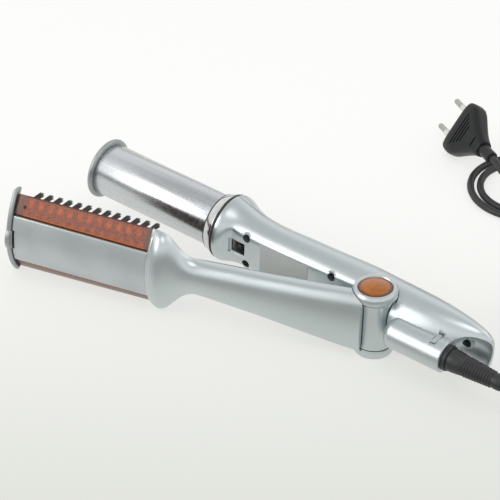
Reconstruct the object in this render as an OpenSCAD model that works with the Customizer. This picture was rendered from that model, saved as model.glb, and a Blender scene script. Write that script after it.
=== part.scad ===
// Rotating curling iron: a driven hot barrel on one arm, a sprung brush on the other.
// Millimetres. The hinge axis is Z, the barrel lies towards -X and the cord leaves
// towards +X. The hinge's bottom cap stands on z = 0.

/* [Barrel] */
// Outer diameter of the hot barrel
barrel_d = 32; // [31:0.5:32.5]
// Wall of the barrel tube
barrel_wall = 1.4; // [1:0.1:2]
// Distance from the hinge axis to the barrel's tip
barrel_reach = 210.3; // [206:0.1:214]
// Diameter of the flange on the tip
flange_d = 37.2; // [35:0.1:38]
// Barrel axis, in front of or behind the hinge axis
barrel_y = 15.6; // [15.2:0.1:16]

/* [Hinge] */
// Angle between the arms, as the spring holds them open
open_angle = 15.6; // [10:0.1:18]
// Rise of both arms away from the hinge
arm_pitch = 1.6; // [1.4:0.05:1.8]
// Diameter of the knuckle
knuckle_d = 22.2; // [21.6:0.1:22.2]
// Diameter of the hinge pin
pin_d = 6; // [5:0.1:7]
// Diameter of the ring around the power button
ring_d = 26.4; // [25:0.1:27]
// Height of the hinge, up to the ring's top
hinge_h = 44; // [43.5:0.1:44.5]
// Travel of the power button
button_travel = 0.8; // [0.4:0.1:0.8]

/* [Handle] */
// Wall of the moulded shells
shell_wall = 1.8; // [1.6:0.1:2]
// Depth at which the barrel arm's two shells meet
parting_y = 20.5; // [19:0.5:21]
// Depth at which the brush arm's two shells meet, with the arms closed
brush_parting_y = -4.5; // [-6:0.5:-4]
// Radius of the tube that holds the cord's swivel
cord_tube_r = 9.6; // [9.2:0.1:10]

/* [Brush] */
// Half height of the bristle carrier
carrier_h = 26; // [24:0.5:26]
// Half height of the smooth cover
cover_h = 16.2; // [14:0.1:17]
// Distance between tufts
tuft_pitch = 6.15; // [6:0.05:6.15]
// Width of a bristle at its root
bristle_w = 0.8; // [0.6:0.1:1]

/* [Cord] */
// Diameter of the cord
cord_d = 4.5; // [4:0.1:5]
// Radius of the coil's first turn
coil_r = 30; // [29.5:0.5:30.5]
// Turns in the coil's four layers, and a sixth of a turn towards the plug
coil_turns = 8.17; // [8.16:0.01:8.2]

/* [Hidden] */
$fn = 48;

arm_mid = 23.2;               // height of the arms' middle plane at the hinge axis
barrel_r = barrel_d / 2;
pin_r = pin_d / 2;
knuckle_r = knuckle_d / 2;
gap = 0.3;                    // air between pieces that move past each other
fit = 0.05;                   // radial clearance of a running fit

// Heights in the hinge, from the table up
cap_top = 4.2;
low_eye_top = 5.8;
high_eye_low = 37.4;
high_eye_top = 39;
ledge_z = 41.2;
button_z = ledge_z + button_travel + 0.05;

// The barrel's inside and its drive, along the barrel axis
tube_in_r = barrel_r - barrel_wall;
tube_rear_x = -109.5;
flange_t = 3.4;
gear_module = 0.6;
ring_teeth = 36;
pinion_teeth = 12;
backlash = 0.09;              // taken off each flank at the pitch circle
drive_offset = gear_module * (ring_teeth - pinion_teeth) / 2;
shaft_r = 1.6;
neck_r = 2.6;
bulkhead_x = -107;
gearbox_x = -88.6;
motor_x = -76.8;

// The brush head, with the arms closed
head_x = -218.8;              // face that carries the end cap
rim_x = -134;                 // rim of the brush arm's bell
head_axis_y = barrel_y + 6.2; // centre of the head's outer arc
cover_r = 40.3;
carrier_r = 39.1;
crown_y = -14;                // middle of the carrier's inner face
carrier_in_r = 42.1;
carrier_in_h = 22.5 + 1.5;
first_tuft_x = -211;
tufts = 13;
strip_w = 2.3;
strip_t = 1.2;

// Bristle rows: height, lean towards the barrel, length, tufts left out at the tip
// to clear the flange, and strands of a tuft along the row
rows = [[22.5, 17.8, 16.2, 0, 3], [13, 13.5, 12.2, 1, 2], [4, 4, 11, 1, 2]];

// The barrel arm in sections along X: front, flat, widest point, back, half height
barrel_arm = [
  [-114.5, -4.9, -9, 15.6, 36.1, 20.5],
  [-112, -4.8, -7, 15.6, 36, 20.3],
  [-109, -3.6, -2.5, 15.2, 35, 19.4],
  [-105, -2.2, 1.8, 14.8, 32.9, 18.2],
  [-100, -1.6, 1.8, 14.3, 30.6, 17.2],
  [-93, -1.5, 1.8, 13.8, 28.4, 16.5],
  [-80, -1.5, 1.8, 13.3, 27.3, 16],
  [-60, -1.8, 1.8, 13.3, 28, 16.4],
  [-40, -2.4, 1.8, 13.3, 28.4, 17],
  [-15, -3.4, 1.8, 13.4, 29.6, 17.6],
  [0, -4, 1.5, 13, 28.6, 17.8],
  [15, -5, -5, 12, 28, 18.2],
  [35, -4, -4, 11.2, 26.8, 18.1],
  [50, -1, -1, 11, 24.4, 17.1],
  [60, 3, 3, 11.4, 22, 15.4],
  [66.5, 6.5, 6.5, 12.5, 19.6, 13],
  [70.3, 10, 10, 13.6, 17.2, 9.8]];

// The brush arm in sections, closed: outside, widest point, inside, half height, fullness
brush_arm = [
  [-134, -19.7, -8, -9.6, 26.8, 1.9],
  [-131.5, -20.9, -8.2, -9, 26.7, 1.3],
  [-127, -22.2, -8.8, -7.6, 26.5, 0.9],
  [-123, -21.2, -9, -6.2, 24.7, 0.86],
  [-119, -19, -8.8, -5.7, 20.4, 0.86],
  [-115, -17, -8.2, -5.8, 15.9, 0.86],
  [-111, -15.8, -7.4, -5.3, 12.9, 0.84],
  [-106, -15.1, -7, -0.6, 11.2, 0.8],
  [-98, -15, -7, 0.9, 11.4, 0.78],
  [-85, -15.1, -7, 1, 12.4, 0.75],
  [-66, -15.4, -7.2, 1, 13.8, 0.72],
  [-50, -15.8, -7.4, 1, 15.4, 0.7],
  [-34, -16.2, -7.6, 1, 17, 0.7],
  [-18, -16.2, -7.6, 1, 18.8, 0.7],
  [-3.5, -15.8, -7.5, 1, 20, 0.7]];
handle_end_x = 45;            // end of the handle's hollow, ahead of the tail's mouth
brush_end_x = -17;            // end of the brush arm's hollow, ahead of the hinge

// Screws of the barrel arm, which enter from its flat face: x and height
arm_screws = [[-93.3, 9.1], [-93.3, -9.1], [-32.5, 10.5], [-32.5, -10.5]];
screw_head_r = 2.3;
screw_seat_y = 9;
// Screws of the brush arm, along its middle plane
brush_screw_x = [-96, -58, -30];
tail_screw_x = 55;

// The window that the brush arm's finger enters to work the trigger switch
window_x = -99.4;
window_size = [9.8, 8.6];
plunger_y = 3.8;
plunger_travel = 1.2;

// The cord's swivel
tube_y = -4.9;
tube_end_x = 53;
relief_start_x = 56;
relief_end_x = 91.7;
gland_r = 7.6;
clip_x = 45.5;

// The plug's place and turn on the table
plug_at = [-76.6, 201.9, 15.8];
plug_turn = [53.6, -5, -31.1];
boot_x = [33, 45];            // ends of its boot, from the front face
pin_gap = 18.6;

// Routes of the cord's free stretches, along the table where they lie on it
cord_r = cord_d / 2;
lie = 2.3;                    // height of the cord's centre on the table
coil_at = [81, 88];
coil_pitch = 5;
loop_at = [-19, 187];
loop_r = 34;
loop_pitch = 6;
loop_turns = 1.6;
lead_route = [[88, -4.9, 20.74], [92, -4.9, 20.63], [103, -4.8, 20], [114, -3.8, 17.6],
  [124.5, -0.2, 13.2], [133, 7, 8.6], [137.5, 17, 5.2], [138, 28, 3.4], [135.5, 38.5, 2.6],
  [129.5, 47.5, 2.3], [122, 55.5, 2.3], [115.5, 64, 2.3], [111.8, 72, 2.3]];
run_route = [[83.3, 120.5, 16], [73, 125.5, 12.3], [62.5, 130.5, 8], [52, 135.5, 4.6],
  [41, 141, 2.9], [30, 146, 2.3], [18, 150.5, 2.3], [6, 154, 2.3]];
tail_route = [[6.5, 195, 5.5], [8, 185.5, 8.5], [5, 176.5, 11.5], [-1.5, 170, 14],
  [-10.5, 166.8, 16.2], [-20, 168.5, 18], [-28.5, 173, 19.2]];

// Smooth value of a column of a table of sections at x
function span(t, x, i = 0) = i >= len(t) - 2 || x < t[i + 1][0] ? i : span(t, x, i + 1);
function slope(t, i, c) =
  let (a = max(i - 1, 0), b = min(i + 1, len(t) - 1)) (t[b][c] - t[a][c]) / (t[b][0] - t[a][0]);
function at(t, x, c) =
  let (i = span(t, x), w = t[i + 1][0] - t[i][0], u = (x - t[i][0]) / w)
  (2 * u ^ 3 - 3 * u ^ 2 + 1) * t[i][c] + (u ^ 3 - 2 * u ^ 2 + u) * w * slope(t, i, c)
  + (3 * u ^ 2 - 2 * u ^ 3) * t[i + 1][c] + (u ^ 3 - u ^ 2) * w * slope(t, i + 1, c);

// A section of either arm, pulled in by w, anticlockwise seen from +X
outer_sides = 28;
inner_sides = 18;
function angles(w) = let (n = w > 0 ? inner_sides : outer_sides)
  [for (j = [0:n - 1]) 180 + 360 * j / n];
function barrel_section(x, w = 0) =
  let (t = barrel_arm, front = at(t, x, 1) + w, flat = at(t, x, 2) + w, mid = at(t, x, 3),
    back = at(t, x, 4) - w, h = at(t, x, 5) - w)
  [for (a = angles(w)) let (c = cos(a))
    [x, c < 0 ? max(flat, mid + c * (mid - front)) : mid + c * (back - mid), h * sin(a)]];
function brush_section(x, w = 0) =
  let (t = brush_arm, out = at(t, x, 1) + w, full = at(t, x, 5),
    mid = at(t, x, 2) - w * max(0, full - 0.7), in = at(t, x, 3) - w,
    h = at(t, x, 4) - w * (0.6 + full))
  [for (a = angles(w)) let (c = cos(a), f = abs(c) ^ full)
    [x, c < 0 ? mid - f * (mid - out) : mid + f * (in - mid), h * sin(a)]];

// Places of the rings between two ends: at the table's sections, and between long ones
function stations(t, x0, x1, between = true) =
  concat([x0], [for (i = [0:len(t) - 2], u = between && t[i + 1][0] - t[i][0] > 11 ? [0, 0.5] : [0])
    let (x = t[i][0] + u * (t[i + 1][0] - t[i][0])) if (x > x0 + 0.8 && x < x1 - 0.8) x], [x1]);

// A closed solid through rings of points
module loft(rings) {
  n = len(rings[0]);
  m = len(rings);
  sides = [for (i = [0:m - 2], j = [0:n - 1])
    let (a = i * n + j, b = i * n + (j + 1) % n) each [[a, b + n, b], [a, a + n, b + n]]];
  first = [for (j = [1:n - 2]) [0, j, j + 1]];
  last = [for (j = [1:n - 2]) [(m - 1) * n, (m - 1) * n + j + 1, (m - 1) * n + j]];
  polyhedron([for (r = rings) each r], concat(sides, first, last), convexity = 6);
}

// A tube of flat sides along a path that is nowhere upright
function unit(v) = v / norm(v);
function ring_about(path, i, r, sides) =
  let (n = len(path), d = unit(path[min(i + 1, n - 1)] - path[max(i - 1, 0)]),
    side = unit(cross([0, 0, 1], d)), up = cross(d, side))
  [for (j = [0:sides - 1]) let (a = 270 + (j + 0.5) * 360 / sides)
    path[i] + r * (cos(a) * side + sin(a) * up)];
module sweep(path, r, sides) {
  loft([for (i = [0:len(path) - 1]) ring_about(path, i, r, sides)]);
}

// A wound tube's path: it spirals in and out by turns, and climbs a layer at each
// reversal. Its ends run straight for one diameter. way is 1 anticlockwise, -1 clockwise.
function step01(v) = let (u = min(max(v, 0), 1)) u * u * (3 - 2 * u);
function wound_at(t, r0, pitch, turns, layers) =
  let (p = turns / layers, k = min(floor(t / p), layers - 1), f = t - k * p)
  k % 2 == 0 ? r0 - pitch * f : r0 - pitch * (p - f);
function wound_z(t, turns, layers, rise) = layers < 2 ? 0 :
  rise * wound_sum([for (k = [1:layers - 1]) step01((t - k * turns / layers + 0.25) / 0.5)]);
function wound_sum(v, i = 0) = i < len(v) ? v[i] + wound_sum(v, i + 1) : 0;
function wound(c, r0, pitch, turns, layers, start, way) =
  let (n = round(turns * 24),
    turn_pts = [for (i = [0:n]) let (t = turns * i / n, a = start + way * 360 * t,
      r = wound_at(t, r0, pitch, turns, layers))
      [c[0] + r * cos(a), c[1] + r * sin(a), lie + wound_z(t, turns, layers, pitch)]],
    end = start + way * 360 * turns)
  concat([turn_pts[0] - way * cord_d * [-sin(start), cos(start), 0]], turn_pts,
    [turn_pts[n] + way * cord_d * [-sin(end), cos(end), 0]]);
coil_path = wound(coil_at, coil_r, coil_pitch, coil_turns, 4, 0, 1);
loop_path = wound(loop_at, loop_r, loop_pitch, loop_turns, 1, -80, -1);

// The same path one more diameter before its first point, or past its last one
function before(path) = 2 * path[0] - path[1];
function past(path) = let (n = len(path) - 1) 2 * path[n] - path[n - 1];

// The least air between turns that are half a turn or more apart
function least_gap(path) = min([for (i = [0:len(path) - 14], j = [i + 13:len(path) - 1])
  norm(path[i] - path[j])]) - cord_d;
function path_length(p, i = 0) = i > len(p) - 2 ? 0 : norm(p[i + 1] - p[i]) + path_length(p, i + 1);

// The plug's frame: its front face at the origin, its pins towards -X
module plug_frame() {
  translate(plug_at) rotate(plug_turn) children();
}
function turned(v, q) =
  let (a = [v[0], v[1] * cos(q[0]) - v[2] * sin(q[0]), v[1] * sin(q[0]) + v[2] * cos(q[0])],
    b = [a[0] * cos(q[1]) + a[2] * sin(q[1]), a[1], -a[0] * sin(q[1]) + a[2] * cos(q[1])])
  [b[0] * cos(q[2]) - b[1] * sin(q[2]), b[0] * sin(q[2]) + b[1] * cos(q[2]), b[2]];
boot_end = plug_at + turned([boot_x[1], 0, 0], plug_turn);
boot_dir = turned([1, 0, 0], plug_turn);

lead_path = concat(lead_route, [before(coil_path), coil_path[0]]);
run_path = concat([coil_path[len(coil_path) - 1], past(coil_path)], run_route,
  [before(loop_path), loop_path[0]]);
tail_path = concat([loop_path[len(loop_path) - 1], past(loop_path)], tail_route,
  [boot_end + cord_d * boot_dir, boot_end - 3 * boot_dir]);
echo(cord_length = path_length(lead_path) + path_length(coil_path) + path_length(run_path)
  + path_length(loop_path) + path_length(tail_path));
echo(least_gap_in_coil = least_gap(coil_path), least_gap_in_loops = least_gap(loop_path));

// Frames of the two arms: both rise from the hinge, and the brush arm stands open
module barrel_side() {
  translate([0, 0, arm_mid]) rotate([0, arm_pitch, 0]) children();
}
module brush_side() {
  rotate([0, 0, open_angle]) barrel_side() children();
}
module brush_turn() {
  rotate([0, 0, open_angle]) children();
}
module on_barrel(x) {
  barrel_side() translate([x, barrel_y, 0]) rotate([0, 90, 0]) children();
}
module on_shaft(x) {
  barrel_side() translate([x, barrel_y + drive_offset, 0]) rotate([0, 90, 0]) children();
}
module on_cord_tube(x) {
  barrel_side() translate([x, tube_y, 0]) rotate([0, 90, 0]) children();
}
// An outline in Y and Z, extruded towards +X
module across(x, length) {
  translate([x, 0, 0]) rotate([90, 0, 90]) linear_extrude(length) children();
}
// A cylinder along Y
module along_y(x, y0, y1, z, r, sides = 48) {
  translate([x, y0, z]) rotate([-90, 0, 0]) cylinder(h = y1 - y0, r = r, $fn = sides);
}
module box(low, high) {
  translate(low) cube(high - low);
}
module rounded(w, h, r) {
  square([w - 2 * r, h], center = true);
  square([w, h - 2 * r], center = true);
  for (x = [-1, 1], y = [-1, 1]) translate([x * (w / 2 - r), y * (h / 2 - r)]) circle(r);
}
module pipe(h, r, bore) {
  difference() {
    cylinder(h = h, r = r);
    translate([0, 0, -1]) cylinder(h = h + 2, r = bore);
  }
}
// Room for everything of the hinge that the arms meet, upright about its axis
module hinge_room(knuckle_room, eye_room) {
  cylinder(h = 50, r = knuckle_room, $fn = 40);
  translate([0, 0, -1]) cylinder(h = 1 + low_eye_top + gap, r = eye_room, $fn = 40);
  translate([0, 0, high_eye_low - gap]) cylinder(h = 20, r = eye_room, $fn = 40);
}

// Handle of the barrel arm
module handle_solid() {
  difference() {
    loft([for (x = stations(barrel_arm, -114.5, 70.3)) barrel_section(x)]);
    translate([64.5, 3, 0]) scale([15.5, 13.5, 12.2]) sphere(1, $fn = 24);
  }
  translate([19, tube_y, 0]) rotate([0, 90, 0]) cylinder(h = tube_end_x - 19, r = cord_tube_r, $fn = 32);
  translate([19, tube_y, 0]) scale([0.7, 1, 1]) sphere(cord_tube_r, $fn = 32);
}
module handle_hollow() {
  inner = [for (x = stations(barrel_arm, -114.5, handle_end_x, false)) barrel_section(x, shell_wall)];
  loft(concat([[for (p = inner[0]) p - [2, 0, 0]]], inner));
  translate([21, tube_y, 0]) rotate([0, 90, 0])
    cylinder(h = tube_end_x, r = cord_tube_r - 0.8, $fn = 28);
}
module handle_bosses() {
  intersection() {
    loft([for (x = stations(barrel_arm, -114.5, 70.3, false)) barrel_section(x, 0.5)]);
    for (s = arm_screws) along_y(s[0], 0, 40, s[1], 3.6, 12);
  }
}
module handle_holes() {
  for (s = arm_screws) {
    along_y(s[0], -5, screw_seat_y, s[1], screw_head_r + 0.3, 20);
    along_y(s[0], 0, 23, s[1], 1.4, 10);
  }
  along_y(tail_screw_x, 5, 17.4, 0, 2.5, 20);
  along_y(tail_screw_x, 5, 19.4, 0, 1.4, 10);
  translate([window_x, 0, 0]) cube([window_size[0], 12, window_size[1]], center = true);
  translate([clip_x, tube_y, cord_tube_r]) cube([3.4, 11, 6], center = true);
}
module barrel_arm_shell(outer) {
  color([0.72, 0.75, 0.76]) resize([0, 0, 0]) difference() {
    barrel_side() intersection() {
      difference() {
        union() {
          difference() {
            handle_solid();
            handle_hollow();
          }
          handle_bosses();
        }
        handle_holes();
      }
      translate([-150, outer ? parting_y + 0.05 : parting_y - 100, -50]) cube([300, 100, 100]);
    }
    hinge_room(knuckle_d / 2 + 0.7, ring_d / 2 + gap);
  }
}
module barrel_arm_inner_shell() {
  barrel_arm_shell(false);
}
module barrel_arm_outer_shell() {
  barrel_arm_shell(true);
}

// Hinge: a bored knuckle on the barrel arm, between the eyes of the brush arm's clevis
module hinge_knuckle() {
  low = low_eye_top + gap;
  high = high_eye_low - gap;
  color([0.66, 0.7, 0.72]) rotate_extrude($fn = 72) polygon([
    [pin_r + fit, low], [knuckle_r + 0.4, low], [knuckle_r + 0.4, low + 0.8],
    [knuckle_r, low + 4.5], [knuckle_r, high - 4.5], [knuckle_r + 0.4, high - 0.8],
    [knuckle_r + 0.4, high], [pin_r + 4.2, high], [pin_r + 4.2, high - 14],
    [pin_r + fit, high - 14]]);
}
module hinge_pin() {
  color([0.6, 0.6, 0.62]) rotate_extrude() polygon([
    [0, cap_top - 1.4], [pin_r + 1.6, cap_top - 1.4], [pin_r + 1.6, cap_top - 0.05],
    [pin_r, cap_top - 0.05], [pin_r, high_eye_top], [0, high_eye_top]]);
}
module hinge_spring() {
  low = high_eye_low - gap - 12.8;
  coils = 5;
  path = [for (i = [0:coils * 10]) let (a = 36 * i)
    [5.1 * cos(a), 5.1 * sin(a), low + 11.6 * i / (coils * 10)]];
  color([0.55, 0.56, 0.58]) sweep(path, 0.6, 4);
}
module hinge_clevis() {
  color([0.5, 0.52, 0.54]) brush_turn() difference() {
    union() {
      translate([0, 0, cap_top]) cylinder(h = low_eye_top - cap_top, r = 9.5);
      translate([0, 0, high_eye_low]) cylinder(h = high_eye_top - high_eye_low, r = 9.5);
      box([-13.2, -10, cap_top], [0, -5, low_eye_top]);
      box([-13.2, -10, high_eye_low], [0, -5, high_eye_top]);
      box([-13.2, -10, cap_top], [-11.4, -5, high_eye_top]);
    }
    cylinder(h = 60, r = pin_r);
  }
}
module hinge_top_ring() {
  color([0.74, 0.76, 0.77]) rotate_extrude($fn = 72) polygon([
    [8.4, high_eye_top], [ring_d / 2 - 1.2, high_eye_top], [ring_d / 2, high_eye_top + 1.2],
    [ring_d / 2, hinge_h - 1.6], [ring_d / 2 - 1, hinge_h - 0.3], [ring_d / 2 - 2, hinge_h],
    [10, hinge_h], [10, ledge_z], [8.4, ledge_z]]);
}
module hinge_bottom_cap() {
  color([0.68, 0.71, 0.72]) difference() {
    rotate_extrude($fn = 72) polygon([
      [0, 0], [10, 0], [11.4, 1.2], [11.7, 2.6], [11.7, cap_top], [10, cap_top],
      [10, low_eye_top], [9.6, low_eye_top], [9.6, cap_top - 0.05], [5, cap_top - 0.05],
      [5, cap_top - 1.6], [0, cap_top - 1.6]]);
    brush_turn() box([-13.3, -10.1, cap_top - 0.05], [0, -4.9, low_eye_top + 1]);
  }
}

// Hot end: collar, seal and bearing round the turning barrel
module chrome_collar() {
  seal = barrel_r + 2.3;
  color([0.85, 0.85, 0.86]) on_barrel(0) rotate_extrude($fn = 72) polygon([
    [barrel_r + 0.4, -122.3], [17.5, -122.3], [18, -121.6], [20.3, -115.4], [20.3, -114.6],
    [barrel_r + 0.4, -114.6], [barrel_r + 0.4, -117.2], [seal, -117.2], [seal, -119],
    [barrel_r + 0.4, -119]]);
}
module collar_seal() {
  color([0.2, 0.2, 0.2]) on_barrel(-118.9) pipe(1.6, barrel_r + 2.2, barrel_r + fit);
}
module rear_bearing() {
  color([0.85, 0.82, 0.74]) on_barrel(-114.4) pipe(2.8, barrel_r + 2.1, barrel_r + fit);
}
module drive_bulkhead() {
  color([0.8, 0.78, 0.7]) barrel_side() across(bulkhead_x, 2.4) difference() {
    intersection() {
      translate([barrel_y, 0]) circle(14.8, $fn = 72);
      translate([4.4, -20]) square(40);
    }
    translate([barrel_y, 0]) circle(neck_r);
    translate([barrel_y + drive_offset, 0]) circle(shaft_r + fit);
  }
}
module heater_core() {
  color([0.75, 0.75, 0.77]) on_barrel(0) difference() {
    union() {
      translate([0, 0, -199]) cylinder(h = 71, r = 12.2);
      translate([0, 0, 3.9 - barrel_reach]) cylinder(h = barrel_reach - 3.9 - 198.5, r = 3);
      translate([0, 0, -129]) cylinder(h = 26.6, r = neck_r);
    }
    translate([-7.6, -2.8, -198]) cube([15.2, 5.6, 68]);
    translate([0, 0, -132]) cylinder(h = 40, r = 1.7);
  }
}
module heater_plates() {
  color([0.86, 0.83, 0.76]) on_barrel(0) for (i = [0:2])
    translate([-7.4, -2.6, -197 + 18 * i]) cube([14.8, 5.2, 17]);
}
module thermal_fuse() {
  color([0.8, 0.6, 0.3]) on_barrel(-141) cylinder(h = 9, r = 2);
}
module front_bearing() {
  color([0.85, 0.82, 0.74]) on_barrel(3.5 - barrel_reach) pipe(5, 5, 3 + fit);
}

// Turning barrel and its drive
module barrel_tube() {
  color([0.88, 0.89, 0.9]) on_barrel(flange_t - barrel_reach)
    pipe(tube_rear_x + barrel_reach - flange_t, barrel_r, tube_in_r, $fn = 96);
}
module barrel_tip_flange() {
  r = flange_d / 2;
  color([0.6, 0.64, 0.66]) on_barrel(-barrel_reach) rotate_extrude($fn = 72) polygon([
    [0, 0], [r - 1.6, 0], [r - 0.4, 0.6], [r, 1.4], [r, 2.4], [r - 0.6, 3.1], [r - 1.6, flange_t],
    [tube_in_r - 0.03, flange_t], [tube_in_r - 0.03, 9], [5.03, 9], [5.03, 3.2], [0, 3.2]]);
}
// Teeth of flat flanks, pointing out for a pinion and in for a ring gear
module teeth(n, inward, first) {
  pitch_r = gear_module * n / 2;
  s = inward ? -1 : 1;
  half = PI * gear_module / 4 - backlash;
  for (i = [0:n - 1]) rotate(first + 360 * i / n) polygon([
    [pitch_r - s * gear_module * 1.6, half * 1.72], [pitch_r - s * gear_module * 1.6, -half * 1.72],
    [pitch_r, -half], [pitch_r + s * gear_module * 0.85, -half * 0.45],
    [pitch_r + s * gear_module * 0.85, half * 0.45], [pitch_r, half]]);
}
module barrel_ring_gear() {
  pitch_r = gear_module * ring_teeth / 2;
  color([0.9, 0.88, 0.8]) barrel_side() union() {
    across(-116, 6.5) translate([barrel_y, 0]) {
      difference() {
        circle(tube_in_r - 0.03, $fn = 72);
        circle(pitch_r + gear_module * 1.3, $fn = 72);
      }
      teeth(ring_teeth, true, 5);
    }
    across(tube_rear_x, 0.8) translate([barrel_y, 0]) difference() {
      circle(tube_in_r + 0.6, $fn = 72);
      circle(pitch_r + gear_module * 1.3, $fn = 72);
    }
  }
}
module drive_shaft() {
  color([0.7, 0.7, 0.72]) on_shaft(-116.4) cylinder(h = 30.2, r = shaft_r);
}
module drive_pinion() {
  pitch_r = gear_module * pinion_teeth / 2;
  color([0.85, 0.75, 0.4]) barrel_side() across(-115.8, 6) translate([barrel_y + drive_offset, 0])
    difference() {
      union() {
        circle(pitch_r - gear_module * 1.2);
        teeth(pinion_teeth, false, 0);
      }
      circle(shaft_r + 0.02);
    }
}
module shaft_coupling() {
  color([0.3, 0.3, 0.32]) on_shaft(-98) pipe(7, 2.7, shaft_r + 0.02);
}
module reduction_gearbox() {
  color([0.35, 0.36, 0.38]) barrel_side() difference() {
    union() {
      across(gearbox_x, 11.6) translate([13.6, 0]) rounded(15, 21, 4);
      across(gearbox_x, 3) translate([barrel_y + drive_offset, 0]) circle(2.7);
    }
    translate([gearbox_x - 1, barrel_y + drive_offset, 0]) rotate([0, 90, 0])
      cylinder(h = 4.5, r = shaft_r + fit);
  }
}
module gear_motor() {
  color([0.7, 0.71, 0.72]) barrel_side() {
    across(motor_x, 25) translate([13.6, 0]) intersection() {
      circle(10);
      square([15, 20.1], center = true);
    }
    across(motor_x + 25, 1.6) translate([13.6, 0]) circle(3);
  }
}

// Electronics
module control_board() {
  color([0.1, 0.4, 0.2]) barrel_side() box([-48, 15, -6], [-16, 16.6, 6]);
}
module board_components() {
  color([0.15, 0.15, 0.17]) barrel_side() {
    box([-46, 8, -5.5], [-34, 15, 5.5]);
    box([-24.5, 12.6, -5], [-18, 15, 5]);
    along_y(-29.5, 6.5, 15, 0, 3.6);
  }
}
module trigger_switch() {
  color([0.12, 0.12, 0.13]) barrel_side() difference() {
    box([-103.6, 6.4, -3], [-94.6, 12, 3]);
    along_y(window_x, 6, 10, 0, 1.4 + fit);
  }
}
module trigger_plunger() {
  color([0.75, 0.2, 0.15]) barrel_side() along_y(window_x, plunger_y, 8.2, 0, 1.4);
}
module shell_screws() {
  color([0.35, 0.36, 0.37]) barrel_side() for (s = arm_screws) {
    along_y(s[0], screw_seat_y, screw_seat_y + 1.6, s[1], 1.25);
    along_y(s[0], screw_seat_y - 1.6, screw_seat_y, s[1], screw_head_r);
    along_y(s[0], screw_seat_y, 22.8, s[1], 1.25);
  }
}
module tail_screw() {
  color([0.35, 0.36, 0.37]) barrel_side() {
    along_y(tail_screw_x, 15.8, 17.35, 0, 2.3);
    along_y(tail_screw_x, 17.35, 19.2, 0, 1.25);
  }
}
module blank_label() {
  color([0.8, 0.81, 0.8]) barrel_side() box([-83, 1.55, -10], [-49, 1.78, 10]);
}
module wire(points) {
  sweep(points, 0.8, 6);
}
module wiring() {
  color([0.75, 0.1, 0.1]) barrel_side() {
    wire([[40, tube_y, 0], [31, -3, 1], [24, 4, 2], [17, 13, 3], [5, 18, 3], [-7, 18, 2], [-15.4, 15.8, 0]]);
    wire([[-48.6, 15.8, 2.5], [-49.2, 19, 3], [-49.4, 22.8, 5], [-62, 23, 6], [-78, 22.7, 6.5],
      [-90.6, 22.2, 5], [-97, 16.5, 1.2], [-101.9, barrel_y, 0]]);
  }
}

// Power button in the hinge's top ring
module button_board() {
  color([0.1, 0.4, 0.2]) translate([0, 0, high_eye_top + 0.05]) cylinder(h = 0.8, r = 8);
}
module indicator_lamp() {
  color([1, 0.6, 0.2]) translate([0, 0, high_eye_top + 0.85]) cylinder(h = 0.9, r = 1.6);
}
module power_button() {
  low = button_z;
  color([0.85, 0.42, 0.1]) rotate_extrude($fn = 72) polygon(concat(
    [[0, low + 1], [7.5, low + 1], [7.5, low], [9.95, low], [9.95, 43.6]],
    [for (i = [1:8]) [9.95 * cos(i * 11.25), 43.6 + 1.6 * sin(i * 11.25)]]));
}
module button_spring() {
  turns = 3;
  path = [for (i = [0:turns * 10])
    [5.2 * cos(36 * i), 5.2 * sin(36 * i), high_eye_top + 1.2 + 2.3 * i / (turns * 10)]];
  color([0.6, 0.6, 0.6]) sweep(path, 0.3, 4);
}

// Brush arm
module brush_arm_shell(outer) {
  color([0.72, 0.75, 0.76]) resize([0, 0, 0]) brush_turn() difference() {
    barrel_side() intersection() {
      difference() {
        union() {
          difference() {
            loft([for (x = stations(brush_arm, -134, -3.5)) brush_section(x)]);
            loft([for (x = stations(brush_arm, -132, brush_end_x, false))
              brush_section(x, shell_wall)]);
          }
          intersection() {
            loft([for (x = stations(brush_arm, -134, -3.5, false)) brush_section(x, 0.5)]);
            for (x = brush_screw_x) along_y(x, -30, 10, 0, 3, 10);
          }
        }
        for (x = brush_screw_x) {
          along_y(x, -2.4, 5, 0, 2.2, 12);
          along_y(x, -12.2, 5, 0, 1.15, 8);
        }
        box([window_x - 1.6, -3, -2], [window_x + 1.6, 5, 2]);
      }
      translate([-150, outer ? brush_parting_y - 100.05 : brush_parting_y, -50]) cube([200, 100, 100]);
    }
    hinge_room(knuckle_d / 2 + 0.7, 9.6);
    translate([0, 0, high_eye_top]) cylinder(h = 20, r = ring_d / 2 + 0.1, $fn = 40);
    translate([0, 0, -1]) cylinder(h = 1 + cap_top, r = 11.8, $fn = 32);
    box([-13.3, -10.1, 0], [0, -4.9, low_eye_top + 0.1]);
    box([-13.3, -10.1, high_eye_low - 0.1], [0, -4.9, high_eye_top + 0.1]);
    box([-13.3, -10.1, 0], [-11.3, -4.9, high_eye_top + 0.1]);
  }
}
module brush_arm_outer_shell() {
  brush_arm_shell(true);
}
module brush_arm_inner_shell() {
  brush_arm_shell(false);
}
module brush_arm_screws() {
  color([0.35, 0.36, 0.37]) brush_side() for (x = brush_screw_x) {
    along_y(x, -2.35, -1.2, 0, 1.9);
    along_y(x, -12, -2.35, 0, 1);
  }
}
module switch_finger() {
  color([0.6, 0.64, 0.66]) brush_side() {
    box([window_x - 1.5, -2.9, -1.9], [window_x + 1.45, 4.7, 1.9]);
    box([window_x - 3, -2.9, -3], [window_x + 0.3, -1.9, 3]);
  }
}

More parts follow.
